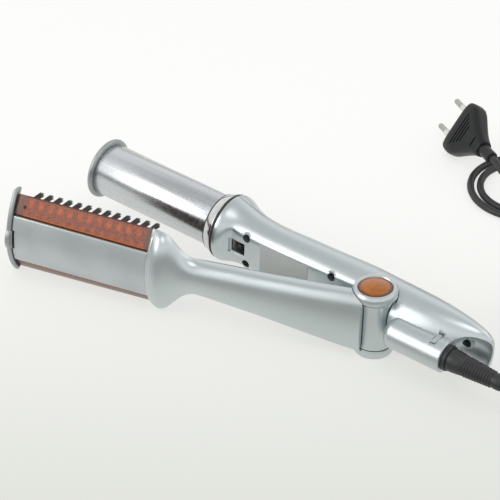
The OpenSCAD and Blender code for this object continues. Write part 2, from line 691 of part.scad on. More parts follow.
// Brush head: arcs in Y and Z about a centre on the barrel's side
function arc(cy, r, h0, h1, n = 20) = [for (i = [0:n]) let (z = h0 + (h1 - h0) * i / n)
  [cy - sqrt(r * r - z * z), z]];
inner_cy = crown_y + carrier_in_r;
module row_frame(row, s) {
  z = s * rows[row][0];
  translate([0, inner_cy - sqrt(carrier_in_r ^ 2 - z * z), z]) rotate([-s * rows[row][1], 0, 0])
    children();
}
module bristle_carrier() {
  color([0.75, 0.22, 0.08]) brush_side() difference() {
    across(head_x, rim_x - head_x) polygon(concat(
      arc(head_axis_y, carrier_r, -carrier_h, carrier_h),
      arc(inner_cy, carrier_in_r, carrier_in_h, -carrier_in_h)));
    for (row = [0:2], s = [-1, 1]) row_frame(row, s)
      box([head_x - 1, -strip_t - 0.05, -strip_w / 2 - 0.05], [rim_x - 1.1, 3, strip_w / 2 + 0.05]);
  }
}
module brush_cover() {
  color([0.66, 0.69, 0.7]) brush_side() across(head_x, rim_x - head_x) polygon(concat(
    arc(head_axis_y, cover_r, -cover_h, cover_h),
    arc(head_axis_y, carrier_r + 0.03, cover_h, -cover_h)));
}
module brush_end_cap() {
  color([0.6, 0.64, 0.66]) brush_side() union() {
    across(head_x - 2.6, 2.55) polygon(concat(
      arc(head_axis_y, cover_r + 1.5, -28, 28), arc(inner_cy, carrier_in_r - 1.6, 26.5, -26.5)));
    across(head_x - 2.6, 2.55) intersection() {
      translate([-13.2, 0]) circle(9);
      translate([-24, -12]) square([8, 24]);
    }
  }
}
// Strands of three or four sides on a slice of their backing, as one surface
module bristle_strip(row, s) {
  length = rows[row][2];
  skip = rows[row][3];
  n = rows[row][4];
  air = n > 2 ? 0.35 : 0.7;
  w = n > 2 ? bristle_w - 0.1 : bristle_w;
  half = (n * w + (n - 1) * air) / 2;
  xs = concat([head_x + 0.2], [for (i = [skip:tufts - 1], k = [0:n - 1], e = [0, w])
    first_tuft_x + tuft_pitch * i - half + k * (w + air) + e], [rim_x - 1.2]);
  zs = [-strip_w / 2, -strip_w / 2 + w, strip_w / 2 - w, strip_w / 2];
  m = len(xs);
  cells = [for (i = [1:2:m - 2], j = [0, 2]) [i, j]];
  bottom = 4 * m;
  tips = bottom + 4;
  points = concat([for (x = xs, z = zs) [x, -0.05, z]],
    [[xs[0], -strip_t, zs[0]], [xs[0], -strip_t, zs[3]], [xs[m - 1], -strip_t, zs[3]],
      [xs[m - 1], -strip_t, zs[0]]],
    [for (c = cells, k = [[0, 0], [1, 0], [1, 1], [0, 1]])
      let (mx = (xs[c[0]] + xs[c[0] + 1]) / 2, mz = (zs[c[1]] + zs[c[1] + 1]) / 2)
      [mx + (xs[c[0] + k[0]] - mx) * 0.6, length, mz + (zs[c[1] + k[1]] - mz) * 0.6]]);
  flat_faces = [for (i = [0:m - 2], j = [0:2]) if (i % 2 == 0 || j == 1)
    let (a = 4 * i + j) each [[a, a + 4, a + 5], [a, a + 5, a + 1]]];
  strand_faces = [for (k = [0:len(cells) - 1])
    let (a = 4 * cells[k][0] + cells[k][1], q = [a, a + 4, a + 5, a + 1], t = tips + 4 * k)
    each concat([for (e = [0:3]) each [[q[e], q[(e + 1) % 4], t + (e + 1) % 4],
      [q[e], t + (e + 1) % 4, t + e]]], [[t, t + 1, t + 2], [t, t + 2, t + 3]])];
  last = 4 * (m - 1);
  walls = concat(
    [for (i = [0:m - 2]) [4 * i, bottom, 4 * i + 4]], [[last, bottom, bottom + 3]],
    [for (i = [0:m - 2]) [4 * i + 3, 4 * i + 7, bottom + 1]], [[last + 3, bottom + 2, bottom + 1]],
    [for (j = [0:2]) [j, j + 1, bottom]], [[3, bottom + 1, bottom]],
    [for (j = [0:2]) [last + j + 1, last + j, bottom + 3]], [[last + 3, bottom + 3, bottom + 2]],
    [[bottom, bottom + 1, bottom + 2], [bottom, bottom + 2, bottom + 3]]);
  color([0.06, 0.06, 0.06]) brush_side() row_frame(row, s)
    polyhedron(points, concat(flat_faces, strand_faces, walls), convexity = 10);
}
module bristle_strip_1() {
  bristle_strip(0, 1);
}
module bristle_strip_2() {
  bristle_strip(1, 1);
}
module bristle_strip_3() {
  bristle_strip(2, 1);
}
module bristle_strip_4() {
  bristle_strip(2, -1);
}
module bristle_strip_5() {
  bristle_strip(1, -1);
}
module bristle_strip_6() {
  bristle_strip(0, -1);
}

// Cord swivel in the tube at the tail
module swivel_bush() {
  color([0.7, 0.72, 0.73]) on_cord_tube(41) pipe(tube_end_x - 41, cord_tube_r - 0.85, gland_r + fit);
}
module swivel_clip() {
  color([0.6, 0.62, 0.63]) barrel_side() box([clip_x - 1.4, tube_y - 4, cord_tube_r - 0.7],
    [clip_x + 1.4, tube_y + 4, cord_tube_r - 0.1]);
}
module swivel_gland() {
  color([0.08, 0.08, 0.08]) on_cord_tube(0) rotate_extrude() polygon([
    [3.4, 39], [gland_r - 1, 39], [gland_r, 40], [gland_r, 54.6], [gland_r - 1.2, relief_start_x],
    [3.4, relief_start_x]]);
}
module strain_relief() {
  ribs = 5;
  first = 68;
  step = 3.6;
  profile = [for (i = [0:ribs - 1], k = [[0, 0], [0.4, 0.9], [2.3, 0.9], [2.7, 0]])
    let (x = first + step * i + k[0]) [5.4 - (x - first) * 0.07 + k[1], x]];
  color([0.08, 0.08, 0.08]) on_cord_tube(0) rotate_extrude() polygon(concat(
    [[cord_r + 0.15, 42], [3.35, 42], [3.35, relief_start_x + 0.05], [6.8, relief_start_x + 0.05],
      [6.6, 63], [5.6, 66.5]], profile, [[3.6, 87.5], [3.2, relief_end_x], [cord_r + 0.15, relief_end_x]]));
}

// Cord and plug
module cord_lead() {
  color([0.08, 0.08, 0.08]) sweep(lead_path, cord_r, 8);
}
module cord_coil() {
  color([0.08, 0.08, 0.08]) sweep(coil_path, cord_r, 6);
}
module cord_run() {
  color([0.08, 0.08, 0.08]) sweep(run_path, cord_r, 8);
}
module cord_loops() {
  color([0.08, 0.08, 0.08]) sweep(loop_path, cord_r, 6);
}
module cord_tail() {
  color([0.08, 0.08, 0.08]) sweep(tail_path, cord_r, 8);
}
// The plug's body in sections: distance from the front face, half width, half thickness
plug = [[0, 15.6, 5.6], [1.6, 17.4, 6.6], [7, 17.6, 6.9], [12, 16, 6.8], [18, 12.4, 6.4],
  [24, 8.6, 5.8], [29, 6.4, 5.2], [boot_x[0], 5.2, 4.6]];
module plug_body() {
  color([0.07, 0.07, 0.07]) plug_frame() difference() {
    union() {
      loft([for (s = plug) [for (j = [0:19]) let (a = 18 * j, c = cos(a), v = sin(a))
        [s[0], s[1] * sign(c) * abs(c) ^ 0.55, s[2] * sign(v) * abs(v) ^ 0.55]]]);
      translate([boot_x[0], 0, 0]) rotate([0, 90, 0]) cylinder(h = boot_x[1] - boot_x[0], r = 3.8);
    }
    translate([boot_x[1] - 4, 0, 0]) rotate([0, 90, 0]) cylinder(h = 10, r = cord_r + fit);
  }
}
module plug_pins() {
  color([0.8, 0.78, 0.7]) plug_frame() for (s = [-1, 1]) translate([0, s * pin_gap / 2, 0])
    rotate([0, -90, 0]) rotate_extrude() polygon([[0, 0], [2, 0], [2, 17.6], [1.4, 19], [0, 19]]);
}

barrel_arm_inner_shell();
barrel_arm_outer_shell();
hinge_knuckle();
hinge_pin();
hinge_spring();
chrome_collar();
collar_seal();
rear_bearing();
drive_bulkhead();
heater_core();
heater_plates();
thermal_fuse();
front_bearing();
gear_motor();
reduction_gearbox();
control_board();
board_components();
trigger_switch();
trigger_plunger();
shell_screws();
tail_screw();
blank_label();
wiring();
button_board();
indicator_lamp();
barrel_tube();
barrel_tip_flange();
barrel_ring_gear();
drive_shaft();
drive_pinion();
shaft_coupling();
brush_arm_outer_shell();
brush_arm_inner_shell();
hinge_clevis();
hinge_top_ring();
hinge_bottom_cap();
brush_arm_screws();
switch_finger();
bristle_carrier();
brush_cover();
brush_end_cap();
bristle_strip_1();
bristle_strip_2();
bristle_strip_3();
bristle_strip_4();
bristle_strip_5();
bristle_strip_6();
power_button();
button_spring();
swivel_bush();
swivel_clip();
swivel_gland();
strain_relief();
cord_lead();
cord_coil();
cord_run();
cord_loops();
cord_tail();
plug_body();
plug_pins();
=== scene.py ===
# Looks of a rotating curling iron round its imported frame. Everything is in metres, in the part's frame:
# the hinge axis is Z, the hot barrel lies towards -X, and the cord leaves the tail towards +X.
import math

import bmesh
import bpy
from mathutils import Euler, Matrix, Vector


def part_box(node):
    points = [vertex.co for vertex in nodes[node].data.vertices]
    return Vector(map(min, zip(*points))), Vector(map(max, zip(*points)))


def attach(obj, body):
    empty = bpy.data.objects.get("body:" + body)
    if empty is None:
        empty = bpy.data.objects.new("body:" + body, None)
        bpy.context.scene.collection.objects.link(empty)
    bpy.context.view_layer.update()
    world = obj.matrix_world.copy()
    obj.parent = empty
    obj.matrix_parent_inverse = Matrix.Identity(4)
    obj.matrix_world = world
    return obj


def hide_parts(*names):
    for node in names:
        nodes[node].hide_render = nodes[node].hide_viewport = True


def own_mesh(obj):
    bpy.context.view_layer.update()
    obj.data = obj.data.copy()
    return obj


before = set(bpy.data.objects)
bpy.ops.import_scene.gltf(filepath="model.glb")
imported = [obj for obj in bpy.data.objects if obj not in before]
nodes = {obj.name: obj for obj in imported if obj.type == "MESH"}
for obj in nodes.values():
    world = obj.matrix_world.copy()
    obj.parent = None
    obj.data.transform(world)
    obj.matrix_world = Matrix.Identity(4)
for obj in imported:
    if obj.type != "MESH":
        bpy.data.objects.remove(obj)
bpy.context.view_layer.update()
scene = bpy.context.scene
scene.view_settings.view_transform = "Standard"

# Camera. A long lens from a good arm's length, on the tail's side of the iron and well above the table, as
# the photograph was taken. The focal length is in pixels of the picture, as a fit to the outline gave it.
picture_size = 500
focal_pixels = 2995.5
azimuth, elevation, roll = (math.radians(a) for a in (37.0, 35.8, 0.5))
aim = Vector((-0.0971, 0.0109, 0.020))
standoff = 1.7572
forward = Vector((-math.sin(azimuth) * math.cos(elevation), math.cos(azimuth) * math.cos(elevation),
                  -math.sin(elevation)))
level = Vector((math.cos(azimuth), math.sin(azimuth), 0))
above = level.cross(forward)
camera = bpy.data.objects.new("camera", bpy.data.cameras.new("camera"))
scene.collection.objects.link(camera)
scene.camera = camera
camera.data.sensor_width = 36
camera.data.lens = focal_pixels * camera.data.sensor_width / picture_size
camera.data.clip_start, camera.data.clip_end = 0.1, 20
turned_level = level * math.cos(roll) + above * math.sin(roll)
turned_above = above * math.cos(roll) - level * math.sin(roll)
camera.matrix_world = (Matrix.Translation(aim - forward * standoff)
                       @ Matrix((turned_level, turned_above, -forward)).transposed().to_4x4())

# Mains cord. A 4.5 mm round lead in black rubber leaves the swivel at the tail, lies on the table in a
# neat coil that holds its spare length, runs on to a loose turn and a half beside the plug and rises into
# the plug's boot. Routes and coils are in millimetres.
mm = 0.001
cord_d = 4.5
on_table = 2.3
turn_points = 24
climb_turns = 0.5


def eased(v):
    """A smooth step from 0 to 1."""
    u = min(max(v, 0), 1)
    return u * u * (3 - 2 * u)


def wound(centre, radius, pitch, turns, layers, start, way):
    """A coil's line: it spirals in and out by turns, and climbs a layer at each reversal."""
    points = []
    per_layer = turns / layers
    count = round(turns * turn_points)
    for i in range(count + 1):
        t = turns * i / count
        layer = min(int(t / per_layer), layers - 1)
        inward = t - layer * per_layer if layer % 2 == 0 else (layer + 1) * per_layer - t
        climb = sum(eased((t - k * per_layer + climb_turns / 2) / climb_turns)
                    for k in range(1, layers))
        angle = math.radians(start + way * 360 * t)
        r = radius - pitch * inward
        points.append(Vector((centre[0] + r * math.cos(angle), centre[1] + r * math.sin(angle),
                              on_table + pitch * climb)))
    for end, angle, sense in ((0, start, -1), (len(points) + 1, start + way * 360 * turns, 1)):
        a = math.radians(angle)
        step = Vector((-math.sin(a), math.cos(a), 0)) * way * sense * cord_d
        points.insert(end, (points[0] if end == 0 else points[-1]) + step)
    return points


plug_place = Matrix.Translation((-76.6, 201.9, 15.8)) @ Euler(
    [math.radians(a) for a in (53.6, -5, -31.1)]).to_matrix().to_4x4()
boot_end = 45
lead_route = [(88, -4.9, 20.74), (92, -4.9, 20.63), (103, -4.8, 20), (114, -3.8, 17.6),
              (124.5, -0.2, 13.2), (133, 7, 8.6), (137.5, 17, 5.2), (138, 28, 3.4), (135.5, 38.5, 2.6),
              (129.5, 47.5, 2.3), (122, 55.5, 2.3), (115.5, 64, 2.3), (111.8, 72, 2.3)]
run_route = [(83.3, 120.5, 16), (73, 125.5, 12.3), (62.5, 130.5, 8), (52, 135.5, 4.6), (41, 141, 2.9),
             (30, 146, 2.3), (18, 150.5, 2.3), (6, 154, 2.3)]
tail_route = [(6.5, 195, 5.5), (8, 185.5, 8.5), (5, 176.5, 11.5), (-1.5, 170, 14), (-10.5, 166.8, 16.2),
              (-20, 168.5, 18), (-28.5, 173, 19.2)]
coil_line = wound(centre=(81, 88), radius=30, pitch=5, turns=8.17, layers=4, start=0, way=1)
loop_line = wound(centre=(-19, 187), radius=34, pitch=6, turns=1.6, layers=1, start=-80, way=-1)
boot_line = [plug_place @ Vector((boot_end + cord_d, 0, 0)), plug_place @ Vector((boot_end - 3, 0, 0))]
cord_line = ([Vector(p) for p in lead_route] + coil_line + [Vector(p) for p in run_route] + loop_line
             + [Vector(p) for p in tail_route] + boot_line)
cord_curve = bpy.data.curves.new("mains_cord", "CURVE")
cord_curve.dimensions = "3D"
cord_curve.bevel_depth = 1
cord_curve.bevel_resolution = 4
cord_curve.resolution_u = 4
cord_curve.use_fill_caps = True
spline = cord_curve.splines.new("BEZIER")
spline.bezier_points.add(len(cord_line) - 1)
for knot, p in zip(spline.bezier_points, cord_line):
    knot.co = p * mm
    knot.radius = cord_d / 2 * mm
    knot.handle_left_type = knot.handle_right_type = "AUTO"
cord = bpy.data.objects.new("mains_cord", cord_curve)
scene.collection.objects.link(cord)
cord_length = sum((b - a).length for a, b in zip(cord_line, cord_line[1:])) * mm
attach(cord, "root")
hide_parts("cord_lead", "cord_coil", "cord_run", "cord_loops", "cord_tail")


class Wire:
    """An output of a node. A sum on it adds the Math nodes that work it out."""

    def __init__(self, finish, socket):
        self.finish, self.socket = finish, socket

    def sum(self, operation, *values):
        return self.finish.node("Math", {"operation": operation}, dict(enumerate(values)))

    def __add__(self, other):
        return self.sum("ADD", self, other)

    def __sub__(self, other):
        return self.sum("SUBTRACT", self, other)

    def __rsub__(self, other):
        return self.sum("SUBTRACT", other, self)

    def __mul__(self, other):
        return self.sum("MULTIPLY", self, other)

    def __pow__(self, other):
        return self.sum("POWER", self, other)

    __radd__, __rmul__ = __add__, __mul__

    def __abs__(self):
        return self.sum("ABSOLUTE", self)

    def sine(self):
        return self.sum("SINE", self)

    def smaller(self, other):
        return self.sum("MINIMUM", self, other)

    def ramp(self, low, high, at_low=0.0, at_high=1.0):
        """A smooth change from at_low to at_high as this goes from low to high."""
        return self.finish.node("MapRange", {"interpolation_type": "SMOOTHSTEP"}, {
            "Value": self, "From Min": low, "From Max": high, "To Min": at_low, "To Max": at_high})


class Finish:
    """A material, whose shader's sockets are given as values or as sums on wires."""

    def __init__(self, name, **shader):
        self.material = bpy.data.materials.new(name)
        self.material.use_nodes = True
        self.tree = self.material.node_tree
        self.shader = self.tree.nodes["Principled BSDF"]
        self.give(**shader)

    def give(self, **shader):
        for name, value in shader.items():
            self.feed(self.shader.inputs[name.replace("_", " ")], value)
        return self

    def feed(self, socket, value):
        if isinstance(value, Wire):
            self.tree.links.new(value.socket, socket)
        elif isinstance(value, tuple) and len(value) == 3 and len(socket.default_value) == 4:
            socket.default_value = (*value, 1)
        else:
            socket.default_value = value

    def node(self, kind, settings=None, inputs=None, output=0):
        made = self.tree.nodes.new("ShaderNode" + kind)
        for name, value in (settings or {}).items():
            setattr(made, name, value)
        for name, value in (inputs or {}).items():
            self.feed(made.inputs[name], value)
        return Wire(self, made.outputs[output])

    def place(self, location=(0, 0, 0), turn=(0, 0, 0), scale=mm):
        """Object coordinates in millimetres, in a frame that is moved and turned."""
        here = self.node("TexCoord", output="Object")
        return self.node("Mapping", {"vector_type": "TEXTURE"}, {
            "Vector": here, "Location": location, "Rotation": turn, "Scale": (scale,) * 3})

    def axes(self, place):
        return [self.node("SeparateXYZ", None, {"Vector": place}, k) for k in range(3)]

    def noise(self, place, scale, detail=2.0, roughness=0.5):
        return self.node("TexNoise", None, {"Vector": place, "Scale": scale, "Detail": detail,
                                            "Roughness": roughness})

    def mix(self, share, a, b):
        return self.node("Mix", {"data_type": "RGBA"}, {0: share, 6: a, 7: b}, 2)

    def bump(self, height, distance, strength=1.0):
        return self.node("Bump", None, {"Height": height, "Distance": distance, "Strength": strength})


def cord_rubber():
    """Black rubber with the fine grain of an extruded sheath."""
    made = Finish("cord_rubber", Roughness=0.42, IOR=1.5)
    grain = made.noise(made.place(), 1.6, 4)
    return made.give(Base_Color=made.mix(grain.ramp(0.3, 0.7), (0.012, 0.012, 0.013), (0.028, 0.029, 0.031)),
                     Roughness=grain.ramp(0.25, 0.75, 0.38, 0.5), Normal=made.bump(grain, 0.00005, 0.5))


rubber = cord_rubber()
cord_curve.materials.append(rubber.material)

# Plug. One flat two-pin plug moulded in black plastic on the cord's end, with a chamfered front face,
# four grip grooves across each broad side, a small slot by its waist and a round boot.
# Sections: distance from the front face, half width, half thickness.
plug_sections = [(0, 14.2, 5.0), (1.4, 16.9, 6.5), (4, 17.5, 6.8), (8, 17.5, 6.9), (11, 16.4, 6.85),
                 (14, 14.6, 6.7), (18, 12.1, 6.4), (22, 9.7, 6.0), (26, 7.6, 5.6), (29.5, 6.3, 5.2),
                 (33, 5.2, 4.6)]
groove_places = [8.6, 11, 13.4, 15.8]
groove_half = 0.5
groove_depth = 1


def loft(rings):
    """A closed skin through rings of points: each ring is extruded from the one before it."""
    bm = bmesh.new()
    turn = bm.verts.layers.int.new("turn")
    ring = bmesh.ops.create_circle(bm, segments=len(rings[0]), radius=1)["verts"]
    for i, v in enumerate(ring):
        v[turn] = i
    edges = list(bm.edges)
    bmesh.ops.edgeloop_fill(bm, edges=edges)
    for k, points in enumerate(rings):
        if k:
            made = bmesh.ops.extrude_edge_only(bm, edges=edges)["geom"]
            ring = [g for g in made if isinstance(g, bmesh.types.BMVert)]
            edges = [g for g in made if isinstance(g, bmesh.types.BMEdge)]
        for v in ring:
            v.co = points[v[turn]]
    bmesh.ops.edgeloop_fill(bm, edges=edges)
    bmesh.ops.recalc_face_normals(bm, faces=bm.faces)
    return bm


def block(low, high):
    """A box between two corners."""
    bm = bmesh.new()
    low, high = Vector(low), Vector(high)
    bmesh.ops.create_cube(bm, size=1, matrix=Matrix.Translation((low + high) / 2)
                          @ Matrix.Diagonal((*(high - low), 1)))
    return bm


def rounded(bm, offset, segments=2, least_angle=30):
    """Rounds every edge that is sharper than an angle."""
    sharp = [e for e in bm.edges if e.is_manifold and e.calc_face_angle() > math.radians(least_angle)]
    bmesh.ops.bevel(bm, geom=sharp, offset=offset, segments=segments, affect="EDGES", profile=0.5,
                    material=-1, clamp_overlap=True)
    return bm


def moved(bm, place):
    bmesh.ops.transform(bm, matrix=place, verts=bm.verts)
    return bm


def solid(bm):
    """A mesh object made from a bmesh, which it frees."""
    mesh = bpy.data.meshes.new("solid")
    bm.to_mesh(mesh)
    bm.free()
    made = bpy.data.objects.new("solid", mesh)
    scene.collection.objects.link(made)
    return made


def carve(base, operation, *cutters):
    """Cuts, joins or keeps what base shares with other solids, which are used up."""
    for cutter in cutters:
        cutter = cutter if isinstance(cutter, bpy.types.Object) else solid(cutter)
        step = base.modifiers.new("carve", "BOOLEAN")
        step.operation, step.solver, step.object = operation, "EXACT", cutter
        seen = base.evaluated_get(bpy.context.evaluated_depsgraph_get())
        carved = bpy.data.meshes.new_from_object(seen)
        base.modifiers.clear()
        base.data = carved
        bpy.data.objects.remove(cutter)
    return base


def piece(made, name, place, finish, body, stands_for=(), crease=35):
    """Names a solid, puts it in place in metres, gives it its finish and body, and hides the parts it stands
    for.
    """
    if isinstance(made, bmesh.types.BMesh):
        made = solid(made)
    made.name = made.data.name = name
    made.data.transform(place)
    made.data.materials.clear()
    made.data.materials.append(finish.material)
    made.data.shade_smooth()
    made.data.set_sharp_from_angle(angle=math.radians(crease))
    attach(made, body)
    if stands_for:
        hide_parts(*stands_for)
    return made


def superellipse(half_y, half_z, fullness, sides=56):
    """A ring between a rectangle and an ellipse, squarer for a smaller fullness."""
    points = []
    for k in range(sides):
        a = 2 * math.pi * k / sides
        c, s = math.cos(a), math.sin(a)
        points.append((math.copysign(abs(c) ** fullness, c) * half_y,
                       math.copysign(abs(s) ** fullness, s) * half_z))
    return points


def spun(profile, sides=96):
    """A profile of radius and height pairs, turned round Z into a closed skin."""
    bm = bmesh.new()
    line = [bm.verts.new((r, 0, h)) for r, h in profile]
    edges = [bm.edges.new(pair) for pair in zip(line, line[1:])]
    if profile[0][0] > 0:
        edges.append(bm.edges.new((line[-1], line[0])))
    bmesh.ops.spin(bm, geom=line + edges, cent=(0, 0, 0), axis=(0, 0, 1), angle=2 * math.pi,
                   steps=sides, use_merge=True)
    bmesh.ops.remove_doubles(bm, verts=bm.verts, dist=0.001)
    bmesh.ops.recalc_face_normals(bm, faces=bm.faces)
    return bm


plug_place = Matrix.Scale(mm, 4) @ plug_place
plug = solid(rounded(loft([[(x, y, z) for y, z in superellipse(w, t, fullness=0.42 + 0.013 * x)]
                           for x, w, t in plug_sections]), 0.5, 2, 40))
for side in (-1, 1):
    for k, x in enumerate(groove_places):
        reach = 11.2 - 1.9 * k
        carve(plug, "DIFFERENCE", block((x - groove_half, -reach, side * 6.9 - groove_depth),
                                        (x + groove_half, reach, side * 6.9 + groove_depth)))
    carve(plug, "DIFFERENCE", block((25.5, -3.4, side * 5.9 - 0.9), (26.8, 3.4, side * 5.9 + 0.9)))
along_x = Matrix.Rotation(math.radians(90), 4, "Y")
boot = spun([(0, 30), (3.9, 30), (3.9, 44.2), (3.3, boot_end), (2.2, boot_end), (2.2, boot_end - 1),
             (0, boot_end - 1)], 40)
carve(plug, "UNION", moved(boot, along_x))


def plug_plastic():
    """Black moulded plastic with a light spark-eroded grain."""
    made = Finish("plug_plastic", Specular_IOR_Level=0.35)
    grain = made.noise(made.place(), 3.2, 3)
    return made.give(Base_Color=made.mix(grain.ramp(0.3, 0.7), (0.006, 0.0065, 0.007), (0.012, 0.013, 0.014)),
                     Roughness=grain.ramp(0.3, 0.7, 0.33, 0.44), Normal=made.bump(grain, 0.00004, 0.5))


plug_black = plug_plastic()
piece(plug, "plug_body_moulding", plug_place, plug_black, "root", ["plug_body"])

# Plug's pins. Two round 4 mm pins stand in the plug's front face, with pale insulating sleeves to half
# their length and bare nickel-plated tips.
pin_spacing = 18.6
pin_length = 19
pin_r = 1.85
sleeve_length = 9.6
sleeve_r = 2


def pin_metal():
    """Nickel-plated brass, lightly scratched along the pin."""
    made = Finish("pin_metal", Metallic=1.0)
    scratches = made.noise(made.place(scale=0.004), 6, 5, 0.7)
    return made.give(Base_Color=made.mix(scratches.ramp(0.35, 0.65), (0.38, 0.37, 0.32), (0.60, 0.58, 0.52)),
                     Roughness=scratches.ramp(0.3, 0.7, 0.22, 0.38))


def sleeve_plastic():
    """Pale grey insulating plastic, a little translucent at the rim."""
    made = Finish("sleeve_plastic", Subsurface_Weight=0.1)
    grain = made.noise(made.place(), 0.8, 2)
    return made.give(Base_Color=made.mix(grain.ramp(0.3, 0.7), (0.66, 0.65, 0.60), (0.74, 0.73, 0.68)),
                     Roughness=grain.ramp(0.3, 0.7, 0.36, 0.46))


pin = [(0, sleeve_length - 1), (pin_r, sleeve_length - 1), (pin_r, pin_length - 1.6),
       (1.7, pin_length - 0.8), (1.2, pin_length - 0.2), (0.6, pin_length), (0, pin_length)]
pin_sleeve = [(0, -0.5), (sleeve_r, -0.5), (sleeve_r, sleeve_length - 0.15), (1.88, sleeve_length),
              (0, sleeve_length)]
pins_bm, sleeves_bm = bmesh.new(), bmesh.new()
for side in (-1, 1):
    for target, outline in ((pins_bm, pin), (sleeves_bm, pin_sleeve)):
        turned = moved(spun(outline, 32), Matrix.Translation((0, side * pin_spacing / 2, 0))
                       @ Matrix.Rotation(math.radians(-90), 4, "Y"))
        loose = bpy.data.meshes.new("loose")
        turned.to_mesh(loose)
        turned.free()
        target.from_mesh(loose)
        bpy.data.meshes.remove(loose)
pins = piece(pins_bm, "plug_pin_tips", plug_place, pin_metal(), "root", ["plug_pins"])
sleeves = piece(sleeves_bm, "plug_pin_sleeves", plug_place, sleeve_plastic(), "root")
tuple(cord_line[0] * mm)

# Handle of the barrel arm. Two moulded half shells in silver paint, screwed together from the flat inner
# face: a bell at the hot end, a flat with the trigger's window, and a tail with the cord's tube and a
# scooped mouth. Sections: place along the arm, front, flat, widest point, back and half height.
arm_height = 23.2
arm_pitch = math.radians(1.6)
open_angle = math.radians(15.6)
barrel_y = 15.6
tube_y = -4.9
tube_r = 9.6
tube_end = 53
parting_y = 20.5
seam = 0.22
wall = 1.8
knuckle_low, knuckle_high = 6.1, 37.1
knuckle_room = 11.8
ring_room = 13.5
head_r, boss_r, thread_r = 2.6, 3.6, 1.4
screw_holes = [(-93.3, 9.1), (-93.3, -9.1), (-32.5, 10.5), (-32.5, -10.5)]
tail_screw_x = 55
bell_rim = [(-114.5, 0.8), (-114.3, 0.3), (-113.9, 0)]
handle_sections = [
    (-114.5, -4.9, -9, 15.6, 36.1, 20.5), (-112, -4.8, -7, 15.6, 36, 20.3),
    (-109, -3.6, -2.5, 15.2, 35, 19.4), (-105, -2.2, 1.8, 14.8, 32.9, 18.2),
    (-100, -1.6, 1.8, 14.3, 30.6, 17.2), (-93, -1.5, 1.8, 13.8, 28.4, 16.5),
    (-80, -1.5, 1.8, 13.3, 27.3, 16), (-60, -1.8, 1.8, 13.3, 28, 16.4),
    (-40, -2.4, 1.8, 13.3, 28.4, 17), (-15, -3.4, 1.8, 13.4, 29.6, 17.6),
    (0, -4, 1.5, 13, 28.6, 17.8), (15, -5, -5, 12, 28, 18.2), (35, -4, -4, 11.2, 26.8, 18.1),
    (50, -1, -1, 11, 24.4, 17.1), (60, 3, 3, 11.4, 22, 15.4), (66.5, 6.5, 6.5, 12.5, 19.6, 13),
    (70.3, 10, 10, 13.6, 17.2, 9.8)]
upright = Matrix.Scale(mm, 4)
barrel_side = upright @ Matrix.Translation((0, 0, arm_height)) @ Matrix.Rotation(arm_pitch, 4, "Y")
into_arm = barrel_side.inverted() @ upright


def section_at(table, x):
    """All columns of a table of sections at x, on a smooth curve through its rows."""
    last = len(table) - 1
    i = max(k for k in range(last) if table[k][0] <= x or k == 0)
    width = table[i + 1][0] - table[i][0]
    u = (x - table[i][0]) / width

    def slope(k, column):
        a, b = table[max(k - 1, 0)], table[min(k + 1, last)]
        return (b[column] - a[column]) / (b[0] - a[0])

    return [(2 * u ** 3 - 3 * u ** 2 + 1) * table[i][c] + (u ** 3 - 2 * u ** 2 + u) * width * slope(i, c)
            + (3 * u ** 2 - 2 * u ** 3) * table[i + 1][c] + (u ** 3 - u ** 2) * width * slope(i + 1, c)
            for c in range(1, len(table[0]))]


def stations(*spans):
    """Places from the start of the first span on, each span being its end and its step."""
    places = [spans[0]]
    for end, step in spans[1:]:
        count = max(1, round((end - places[-1]) / step))
        start = places[-1]
        places += [start + (end - start) * k / count for k in range(1, count + 1)]
    return places


def handle_ring(x, inset=0.0, sides=112):
    """The handle's outline at x: round at the back, and cut off by the flat, softly, in front."""
    front, flat, middle, back, half = section_at(handle_sections, x)
    points = []
    for k in range(sides):
        c, s = math.cos(2 * math.pi * k / sides), math.sin(2 * math.pi * k / sides)
        if c > 0:
            y = middle + c * (back - inset - middle)
        else:
            curved = middle + c * (middle - front - inset)
            soft = 1.4
            near = max(soft - abs(curved - flat - inset), 0) / soft
            y = max(curved, flat + inset) + near * near * soft / 4
        points.append((x, y, (half - inset) * s))
    return points


def round_hole(x, y0, y1, z, r, sides=40):
    """A cylinder along the arm's depth, for screws and their heads."""
    return moved(spun([(0, 0), (r, 0), (r, y1 - y0), (0, y1 - y0)], sides),
                 Matrix.Translation((x, y0, z)) @ Matrix.Rotation(math.radians(-90), 4, "X"))


def hinge_space(room_r, eye_r):
    """Everything of the hinge that an arm stays clear of, upright about the hinge axis."""
    return moved(spun([(0, -1), (eye_r, -1), (eye_r, knuckle_low), (room_r, knuckle_low),
                       (room_r, knuckle_high), (eye_r, knuckle_high), (eye_r, 60), (0, 60)], 96), into_arm)


def on_tube(profile, sides=72):
    """A turned form about the axis of the cord's tube."""
    return moved(spun(profile, sides), Matrix.Translation((0, tube_y, 0)) @ along_x)


def bulb(centre, radii):
    bm = bmesh.new()
    bmesh.ops.create_uvsphere(bm, u_segments=64, v_segments=40, radius=1, matrix=Matrix.Translation(centre)
                              @ Matrix.Diagonal((*radii, 1)))
    return bm


